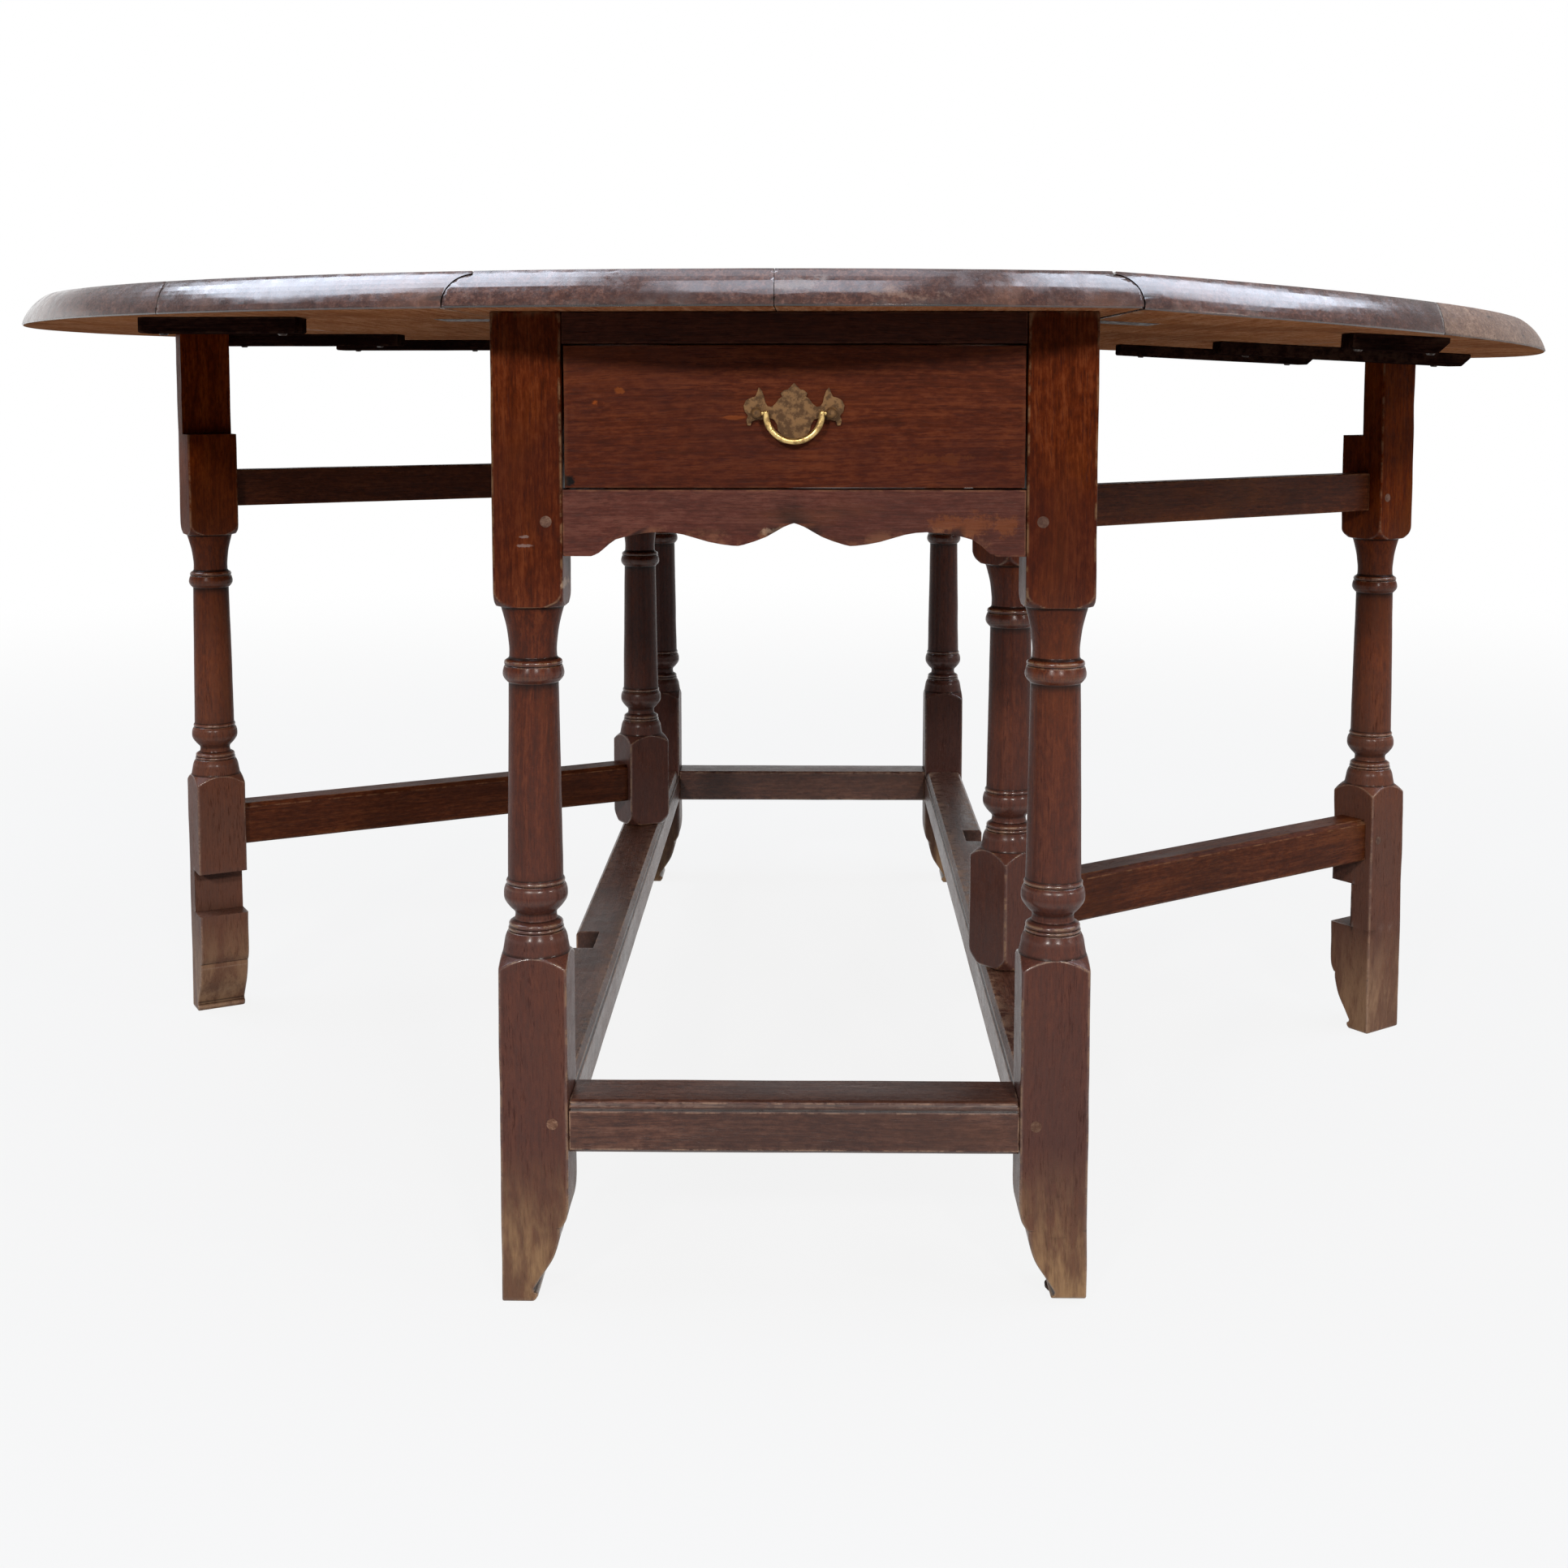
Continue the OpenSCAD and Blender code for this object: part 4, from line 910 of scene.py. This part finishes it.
@dataclass
class TurnedBar:
    """A square bar turned between its blocks: a leg, a gate post or a gate leg.

    Attributes:
        node: part of the frame that it stands for.
        low, high: lowest and highest point in millimetres.
        turn: direction of the bar's own X axis in radians.
        foot: direction, from the bar's own X axis, to which the foot is cut, or None.
        lapped: the half lap and the notch of a gate leg are cut.
        pivots: round pivots at both ends, as on a gate post.
        seed: number that changes the unevenness.
        finish: its oak.
    """

    node: str
    low: float
    high: float
    turn: float = 0.0
    foot: Optional[float] = None
    lapped: bool = False
    pivots: bool = False
    seed: int = 0
    finish: OakFinish = OAK_LEGS

    def heights(self) -> Profile:
        """List every ring, from the lowest to the highest.

        Returns:
            Radius and height of each, in millimetres.
        """
        body: Profile = []
        block = 36.0
        step = 7.0
        if self.pivots:
            radius, length = PIVOT_LOW
            body += [(radius, self.low - length), (radius, self.low - STEP_GAP)]
            body += smooth_curve([(27, self.low), (29, self.low + 3), (33, self.low + 9),
                                  (block, self.low + 18)], 5)
        else:
            body += [(block, self.low), (block, self.low + 0.5), (block, self.low + 1.3)]
        marks = set(np.arange(math.ceil(body[-1][1] / step + 0.3) * step, FOOT_BLOCK - 8, step))
        if self.foot is not None:
            marks |= {z for _, z in FOOT_LINE if z > self.low + 1.5}
        if self.lapped:
            marks |= {NOTCH[0], NOTCH[0] + STEP_GAP, NOTCH[1] - STEP_GAP, NOTCH[1]}
        body += [(block, float(z)) for z in sorted(marks) if z > body[-1][1]]
        body += TurnedPattern().whole()
        marks = set(np.arange(HEAD_START + 11, self.high - 4, step))
        if self.lapped:
            marks |= {LAP_START, LAP_START + STEP_GAP}
        body += [(block, float(z)) for z in sorted(marks)]
        body += [(block, self.high - 1.2), (block, self.high - 0.4), (block, self.high)]
        if self.pivots:
            radius, length = PIVOT_HIGH
            body += [(radius, self.high + STEP_GAP), (radius, self.high + length)]
        return body

    def spun(self) -> BMesh:
        """Spin the rings once round the bar's own axis.

        Returns:
            The round bar as a mesh in work.
        """
        rings = self.heights()
        rings = [(0.0, rings[0][1])] + rings + [(0.0, rings[-1][1])]
        bm = bmesh.new()
        line = [bm.verts.new((r * MM, 0, z * MM)) for r, z in rings]
        edges = [bm.edges.new(pair) for pair in zip(line, line[1:])]
        bmesh.ops.spin(bm, geom=line + edges, cent=(0, 0, 0), axis=(0, 0, 1),
                       angle=math.tau, steps=96, use_merge=True)
        bmesh.ops.remove_doubles(bm, verts=bm.verts, dist=1e-7)
        return bm

    def squared(self, co: np.ndarray) -> np.ndarray:
        """Hold the turned surface inside the square bar.

        Args:
            co: places in millimetres, on the bar's own axes.

        Returns:
            New places, with worn corners on the blocks.
        """
        half = LEG_SQUARE / 2
        radius = np.hypot(co[:, 0], co[:, 1])
        angle = np.arctan2(co[:, 1], co[:, 0])
        gather = 0.15
        angle = angle + gather * np.sin(4 * angle)
        z = co[:, 2]
        across, up = np.abs(np.cos(angle)), np.abs(np.sin(angle))
        spot = np.stack([np.sign(np.cos(angle)) * 3, np.sign(np.sin(angle)) * 3, z / 30], 1)
        sharpness, change = 30, 12
        power = sharpness + change * value_noise(spot, self.seed)
        square = half / (across ** power + up ** power) ** (1 / power)
        soft = 0.5
        held = 0.5 * (radius + square - np.sqrt((radius - square) ** 2 + soft ** 2))
        plain = radius < (PIVOT_LOW[0] + 0.5 if self.pivots else 1)
        held = np.where(plain, radius, held)
        ends = np.minimum(z - self.low, self.high - z)
        held *= np.where(plain, 1.0, 1.0 - 0.03 * np.clip(1.0 - ends / 1.3, 0, 1) ** 2)
        return np.stack([held * np.cos(angle), held * np.sin(angle), z], 1)

    def cut_foot(self, co: np.ndarray) -> np.ndarray:
        """Step one side of the foot inwards.

        Args:
            co: places in millimetres, on the bar's own axes.

        Returns:
            New places.
        """
        half = LEG_SQUARE / 2
        line = sorted((z, inset) for inset, z in FOOT_LINE)
        inset = np.interp(co[:, 2], [z for z, _ in line], [i for _, i in line], right=0.0)
        aim = np.array([math.cos(self.foot), math.sin(self.foot), 0.0])
        along = co @ aim
        new = -half + (along + half) * (2 * half - inset) / (2 * half)
        return co + np.outer(new - along, aim)

    def cut_laps(self, co: np.ndarray) -> np.ndarray:
        """Cut the half lap at the head and the notch over the stretcher.

        Args:
            co: places in millimetres, on the bar's own axes.

        Returns:
            New places.
        """
        z = co[:, 2]
        gap = STEP_GAP / 2
        cut = (z > LAP_START + gap) | ((z > NOTCH[0] + gap) & (z < NOTCH[1] - gap))
        out = co.copy()
        out[:, 1] = np.where(cut, np.minimum(co[:, 1], -0.5), co[:, 1])
        return out

    def build(self) -> None:
        """Make the bar at its place."""
        bm = self.spun()
        co = self.squared(coordinates(bm) / MM)
        if self.foot is not None:
            co = self.cut_foot(co)
        rough = value_noise(co / 26, self.seed) * 0.22 + value_noise(co / 7, self.seed + 5) * 0.06
        flat = np.hypot(co[:, 0], co[:, 1])
        inward = np.where(flat > 9, (rough - 0.28) / np.maximum(flat, 1), 0.0)
        co[:, :2] *= (1 + inward)[:, None]
        if self.lapped:
            co = self.cut_laps(co)
        co = co @ np.array(Matrix.Rotation(self.turn, 3, "Z")).T * MM
        co[:, :2] += np.array(centre_of(self.node))[:2]
        move_points(bm, co)
        bmesh.ops.remove_doubles(bm, verts=bm.verts, dist=3e-6)
        piece = finished(bm, f"{self.node}_turned", 60)
        piece.data.materials.append(self.finish.material(self.node, Grain.UP.way, self.seed))
        settle(piece, self.node)


@dataclass
class Underframe:
    """The four legs of the underframe."""

    nodes: tuple[str, ...] = ("leg_front_left", "leg_front_right", "leg_back_left",
                              "leg_back_right")

    def build(self) -> None:
        """Make the legs, their feet cut towards each other across the table."""
        for seed, node in enumerate(self.nodes):
            low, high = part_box(node)
            foot = 0.0 if node.endswith("left") else math.pi
            TurnedBar(node, low.z / MM, high.z / MM, foot=foot, seed=seed + 1).build()


@dataclass
class Gate:
    """One swinging gate.

    Attributes:
        side: left or right.
        seed: number that changes the unevenness.
    """

    side: str
    seed: int

    def build(self) -> None:
        """Make the gate's post, leg and two rails."""
        post = f"gate_post_{self.side}"
        leg = f"gate_leg_{self.side}"
        way = centre_of(leg) - centre_of(post)
        turn = math.atan2(way.y, way.x)
        TurnedBar(post, POST_LOW, POST_HIGH, turn=turn, pivots=True, seed=self.seed).build()
        low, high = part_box(leg)
        TurnedBar(leg, low.z / MM, high.z / MM, turn=turn, foot=math.pi / 2, lapped=True,
                  seed=self.seed + 1, finish=OAK_GATES).build()
        fibre = Vector((math.cos(turn), math.sin(turn), 0))
        for place, width in (("upper", 1.2), ("lower", 1.4)):
            node = f"gate_rail_{place}_{self.side}"
            CutPiece(node, OAK_RAILS, fibre, width, 0.016, seed=self.seed + 3).build()


@dataclass
class CutPiece:
    """A straight piece kept in the frame's own shape, with worn edges.

    Attributes:
        node: part of the frame.
        finish: its oak.
        fibre: direction of the fibres.
        round_mm: width of the rounded edges in millimetres.
        step: distance between cuts along the fibres in metres.
        seed: number that changes the unevenness.
        sway: unevenness in millimetres.
        cell: size of the unevenness in metres.
        cross_step: distance between cuts across the fibres in metres.
        under: another oak for the underside.
        ending: last word of the piece's name.
        crease: angle in degrees from which an edge stays crisp.
    """

    node: str
    finish: OakFinish
    fibre: Vector
    round_mm: float = 1.0
    step: float = 0.02
    seed: int = 0
    sway: float = 0.25
    cell: float = 0.035
    cross_step: float = 0.02
    under: Optional[OakFinish] = None
    ending: str = "worn"
    crease: float = 50.0

    def cut(self) -> BMesh:
        """Copy the part, round its edges and cut it into short faces.

        Returns:
            The mesh in work.
        """
        bm = copy_of(self.node)
        round_edges(bm, self.round_mm * MM)
        up = Grain.UP.way
        for way, step, edge in ((self.fibre, self.step, 0.004),
                                (self.fibre.cross(up), self.cross_step, 0.0022),
                                (up, self.cross_step, 0.0022)):
            reach = coordinates(bm) @ np.array(way)
            slice_mesh(bm, way, spaced(reach.min(), reach.max(), step, edge))
        return bm

    def reshaped(self, co: np.ndarray) -> np.ndarray:
        """Places as they are; some kinds of piece change them."""
        return co

    def unevenness(self, co: np.ndarray) -> np.ndarray:
        """How far each place stands out, in millimetres."""
        return (value_noise(co / self.cell, self.seed) - 1.0) * 0.5 * self.sway

    def build(self) -> None:
        """Make the piece."""
        self.fibre = self.fibre.normalized()
        bm = self.cut()
        co = self.reshaped(coordinates(bm))
        bm.normal_update()
        normal = np.array([v.normal for v in bm.verts])
        move_points(bm, co + normal * (self.unevenness(co) * MM)[:, None])
        piece = finished(bm, f"{self.node}_{self.ending}", self.crease)
        piece.data.materials.append(self.finish.material(self.node, self.fibre, self.seed))
        if self.under:
            piece.data.materials.append(
                self.under.material(f"{self.node}_under", self.fibre, self.seed + 1))
            for face in piece.data.polygons:
                face.material_index = int(face.normal.z < UNDERSIDE_NORMAL)
        settle(piece, self.node)


class Rails:
    """Rails, apron, stretchers and runners of the underframe."""

    def build(self) -> None:
        """Make each of them."""
        across, deep = Grain.ACROSS.way, Grain.DEEP.way
        seed = 20
        for finish, fibre, width, nodes in (
                (OAK_SHADED, across, 0.8, ["rail_front_top"]),
                (OAK_APRON, across, 0.8, ["apron_front"]),
                (OAK_RAILS, across, 1.0, ["rail_back"]),
                (OAK_RAILS, deep, 1.0, ["rail_side_left", "rail_side_right"]),
                (OAK_STRETCHERS, across, 1.4, ["stretcher_front", "stretcher_back"]),
                (OAK_STRETCHERS, deep, 1.4, ["stretcher_left", "stretcher_right"]),
                (OAK_RAW, deep, 0.6, ["runner_left", "runner_right"])):
            for node in nodes:
                CutPiece(node, finish, fibre, width, seed=seed).build()
                seed += 1


@dataclass
class Board(CutPiece):
    """One board of the top: cut in a grid, so that its round rim is true.

    Attributes:
        lowered: the board hangs with the right leaf.
    """

    round_mm: float = 0.35
    under: Optional[OakFinish] = OAK_RAW
    ending: str = "planed"
    crease: float = 40.0
    lowered: bool = False

    def reshaped(self, co: np.ndarray) -> np.ndarray:
        """Pull the points of the moulded rim onto its true round shape.

        Args:
            co: places in metres.

        Returns:
            New places.
        """
        turn = np.array(Matrix.Rotation(DROOP, 3, "Y")) if self.lowered else np.eye(3)
        hinge = np.array([HINGE_X, 0.0, HINGE_Z])
        level = (co - hinge) @ turn + hinge
        z = level[:, 2] / MM - UNDERSIDE
        reach = np.hypot(level[:, 0], level[:, 1]) / MM
        nose = NOSE_CENTRE + np.sqrt(np.maximum(NOSE_RADIUS ** 2 - (z + NOSE_DROP) ** 2, 0))
        nose = np.minimum(nose, TOP_RADIUS - 1.5 + np.clip(z, 0, 1.5))
        near = (reach > nose - 1.0) & (z > -0.2) & (z < TOP_THICKNESS - 0.3)
        level[:, :2] *= np.where(near, nose / np.maximum(reach, 1), 1.0)[:, None]
        return (level - hinge) @ turn.T + hinge

    def cut(self) -> BMesh:
        """Copy the board, round its edges and cut it along all three axes.

        Returns:
            The mesh in work.
        """
        bm = copy_of(self.node)
        round_edges(bm, self.round_mm * MM, segments=2, shortest=0.012, sharp=24)
        low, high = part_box(self.node)
        slice_mesh(bm, Grain.DEEP.way, spaced(low.y, high.y, 0.016, 0.002))
        slice_mesh(bm, Grain.ACROSS.way, spaced(low.x, high.x, 0.014, 0.003))
        up = Vector((math.sin(DROOP), 0, math.cos(DROOP))) if self.lowered else Grain.UP.way
        start = Vector((HINGE_X, 0, HINGE_Z)).dot(up) - HINGE_Z
        slice_mesh(bm, up, [start + (UNDERSIDE + d) * MM for d in range(2, 24, 3)])
        return bm

    def unevenness(self, co: np.ndarray) -> np.ndarray:
        """Broad sway with a fine one on it.

        Args:
            co: places in metres.

        Returns:
            How far each place stands out, in millimetres.
        """
        broad = (value_noise(co / np.array([0.06, 0.11, 0.05]), self.seed) - 1.0) * 0.5
        fine = (value_noise(co / 0.012, self.seed + 1) - 1.0) * 0.5
        return broad * self.sway + fine * 0.08


@dataclass
class TableTop:
    """The boards of the centre and the leaves, with battens under the leaves."""

    seed: int = 50

    def build(self) -> None:
        """Make the boards and battens."""
        boards = [("top_board_left", OAK_TOP), ("top_board_right", OAK_TOP),
                  ("leaf_left_inner", OAK_TOP), ("leaf_left_outer", OAK_TOP),
                  ("leaf_right_inner", OAK_TOP), ("leaf_right_outer", OAK_REPLACED)]
        for count, (node, finish) in enumerate(boards):
            Board(node, finish, Grain.DEEP.way, seed=self.seed + 2 * count,
                  lowered=node.startswith("leaf_right")).build()
        battens = [f"batten_{side}_{place}" for side in ("left", "right")
                   for place in ("front", "stop", "back")]
        for seed, node in enumerate(battens, self.seed + 20):
            CutPiece(node, OAK_BATTENS_PAINTED_SHADE, Grain.ACROSS.way, 0.8, seed=seed).build()


@dataclass
class DrawerFront(CutPiece):
    """The drawer's front, a little wider than in the frame, so that its gaps stay fine."""

    sway: float = 0.3

    def reshaped(self, co: np.ndarray) -> np.ndarray:
        """Widen the front by half a millimetre at each end.

        Args:
            co: places in metres.

        Returns:
            New places.
        """
        reach = co[:, 0] / np.abs(co[:, 0]).max()
        co[:, 0] += 0.5 * MM * reach * (np.abs(reach) > 0.97)
        return co


@dataclass
class Drawer:
    """The drawer with its box and brass drop pull."""

    seed: int = 90

    def build(self) -> None:
        """Make the wooden parts and dress the brass ones."""
        across, deep = Grain.ACROSS.way, Grain.DEEP.way
        DrawerFront("drawer_front", OAK_FRONT, across, 0.9, seed=self.seed).build()
        box = [("drawer_side_left", deep), ("drawer_side_right", deep),
               ("drawer_back", across), ("drawer_bottom", across)]
        for seed, (node, fibre) in enumerate(box, self.seed + 1):
            CutPiece(node, OAK_RAW, fibre, 0.5, step=0.04, seed=seed).build()
        brass = [("pull_plate", BRASS_PLATE, 0.0003), ("pull_posts", BRASS_PLATE, 0.0002),
                 ("pull_nuts", BRASS_PLATE, 0.0003), ("bail", BRASS_BAIL, 0.0)]
        for seed, (node, finish, edge) in enumerate(brass, 1):
            dress(node, finish.material(node, seed), edge)


@dataclass
class SmallParts:
    """Pegs, nails, screws, hinges and the glide, kept from the frame."""

    pegs: tuple[str, ...] = ("frame_pegs", "top_pegs", "gate_pegs_left", "gate_pegs_right")
    iron: tuple[str, ...] = ("foot_glide", "runner_nails", "batten_nails_left",
                             "batten_nails_right", "hinge_plates_centre", "hinge_plates_left",
                             "hinge_plates_right", "hinge_pins", "hinge_screws_centre",
                             "hinge_screws_left", "hinge_screws_right")

    def build(self) -> None:
        """Dress them."""
        for seed, node in enumerate(self.pegs, 120):
            dress(node, OAK_PEGS.material(node, Grain.DEEP.way, seed), 0.0004)
        for seed, node in enumerate(self.iron):
            dress(node, IRON.material(node, seed), 0.0002)


@dataclass(frozen=True)
class Lamp:
    """One soft square lamp.

    Attributes:
        name: name of the lamp.
        way: compass angle in degrees, 0 in front and positive to the right.
        rise: angle over the floor in degrees.
        far: distance in metres.
        size: side of the square in metres.
        power: light in watts.
        colour: colour of the light.
    """

    name: str
    way: float
    rise: float
    far: float
    size: float
    power: float
    colour: Colour

    def hang(self, aim: Vector) -> None:
        """Hang the lamp.

        Args:
            aim: point that it faces.
        """
        data = bpy.data.lights.new(self.name, "AREA")
        data.shape = "SQUARE"
        data.size = self.size
        data.energy = self.power
        data.color = self.colour
        a, b = math.radians(self.way), math.radians(self.rise)
        offset = Vector((math.sin(a) * math.cos(b), -math.cos(a) * math.cos(b), math.sin(b)))
        lamp = placed(self.name, data)
        lamp.location = aim + offset * self.far
        lamp.rotation_euler = offset.to_track_quat("Z", "Y").to_euler()


COOL = (0.76, 0.85, 1.0)
PLAIN = (1.0, 0.97, 0.93)
LAMPS = (Lamp("key_right", 16, 24.0, 4.5, 0.34, 80, PLAIN),
         Lamp("key_left", -19, 24.2, 4.5, 0.34, 84, PLAIN),
         Lamp("side_right", 62, 22, 4.5, 0.5, 34, PLAIN),
         Lamp("over_front", 0, 68, 3.2, 1.3, 24, COOL),
         Lamp("over_left", -103, 56, 3.5, 2.3, 122, COOL),
         Lamp("over_right", 97, 54, 3.5, 2.1, 104, COOL),
         Lamp("over_middle", 180, 81, 3.2, 1.4, 10, COOL))


@dataclass
class Studio:
    """Floor, backdrop, lamps and camera.

    Attributes:
        lens, place, tilt, shift: the camera, fitted to the photograph's view.
        aim: point that the lamps face.
        surroundings: light of the dim surroundings.
        ceiling: brightness of the ceiling to the eye.
        wall_end: sines of the rise between which the white wall turns into the ceiling.
        white_reach: distances in metres between which the floor pales to white.
        white_near: share of white seen on the floor close to the table.
    """

    lens: float = 45.09
    place: tuple[float, float, float] = (0.0270, -1.9539, 0.6542)
    tilt: tuple[float, float, float] = (84.887, 0.0, 0.804)
    shift: float = -0.1463
    aim: tuple[float, float, float] = (0.0, -0.2, 0.45)
    surroundings: float = 0.04
    ceiling: float = 0.3
    wall_end: tuple[float, float] = (0.2, 0.36)
    white_reach: tuple[float, float] = (1.0, 4.5)
    white_near: float = 0.88

    @staticmethod
    def seen_rays(sheet: NodeSheet) -> Socket:
        """Find the rays that show the background.

        Args:
            sheet: the sheet that is being filled.

        Returns:
            1 for rays from the camera, off shiny surfaces and through glass.
        """
        rays = sheet.node("LightPath").outputs
        seen = sheet.maths("MAXIMUM", rays["Is Camera Ray"], rays["Is Glossy Ray"])
        return sheet.maths("MAXIMUM", seen, rays["Is Transmission Ray"])

    def world(self) -> None:
        """Dim surroundings; a white wall to the eye, with a grey ceiling above it."""
        sheet = NodeSheet(bpy.data.worlds.new("surroundings"))
        rise = sheet.height(sheet.node("TexCoord").outputs["Generated"])
        wall = sheet.span(rise, *self.wall_end, 1.0, self.ceiling)
        seen = sheet.node("Background", {"Color": (1, 1, 1, 1), "Strength": wall})
        soft = sheet.node("Background", {"Color": (0.84, 0.90, 1.0, 1.0),
                                         "Strength": self.surroundings})
        sheet.mixed("OutputWorld", self.seen_rays(sheet), soft, seen)
        bpy.context.scene.world = sheet.owner

    def floor(self) -> None:
        """Pale floor that keeps the shadow and pales to white far away."""
        bm = bmesh.new()
        bmesh.ops.create_grid(bm, x_segments=8, y_segments=8, size=60.0)
        mesh = bpy.data.meshes.new("floor")
        bm.to_mesh(mesh)
        bm.free()
        floor = placed("floor", mesh)
        sheet = NodeSheet(bpy.data.materials.new("floor_paint"))
        far = sheet.span(sheet.length(sheet.places()), *self.white_reach, self.white_near, 1.0)
        matt = sheet.node("BsdfDiffuse", {"Color": (0.28, 0.28, 0.285, 1.0)})
        white = sheet.node("Emission", {"Color": (1, 1, 1, 1), "Strength": 1.0})
        sheet.mixed("OutputMaterial", sheet.times(self.seen_rays(sheet), far), matt, white)
        mesh.materials.append(sheet.owner)

    def camera(self) -> None:
        """Camera at the photograph's viewing angle."""
        data = bpy.data.cameras.new("camera")
        data.lens = self.lens
        data.sensor_width = 36.0
        data.sensor_fit = "HORIZONTAL"
        data.shift_y = self.shift
        data.clip_end = 200.0
        camera = placed("camera", data)
        camera.location = self.place
        camera.rotation_euler = [math.radians(a) for a in self.tilt]
        bpy.context.scene.camera = camera

    def build(self) -> None:
        """Set up the whole studio."""
        bpy.context.scene.view_settings.view_transform = "Standard"
        self.camera()
        self.world()
        self.floor()
        for lamp in LAMPS:
            lamp.hang(Vector(self.aim))


def main() -> None:
    """Build the table and the studio, in order."""
    logging.basicConfig(level=logging.INFO, format="%(name)s %(message)s")
    Studio().build()
    Underframe().build()
    Gate("left", 10).build()
    Gate("right", 15).build()
    Rails().build()
    TableTop().build()
    Drawer().build()
    SmallParts().build()


if __name__ == "__main__":
    main()
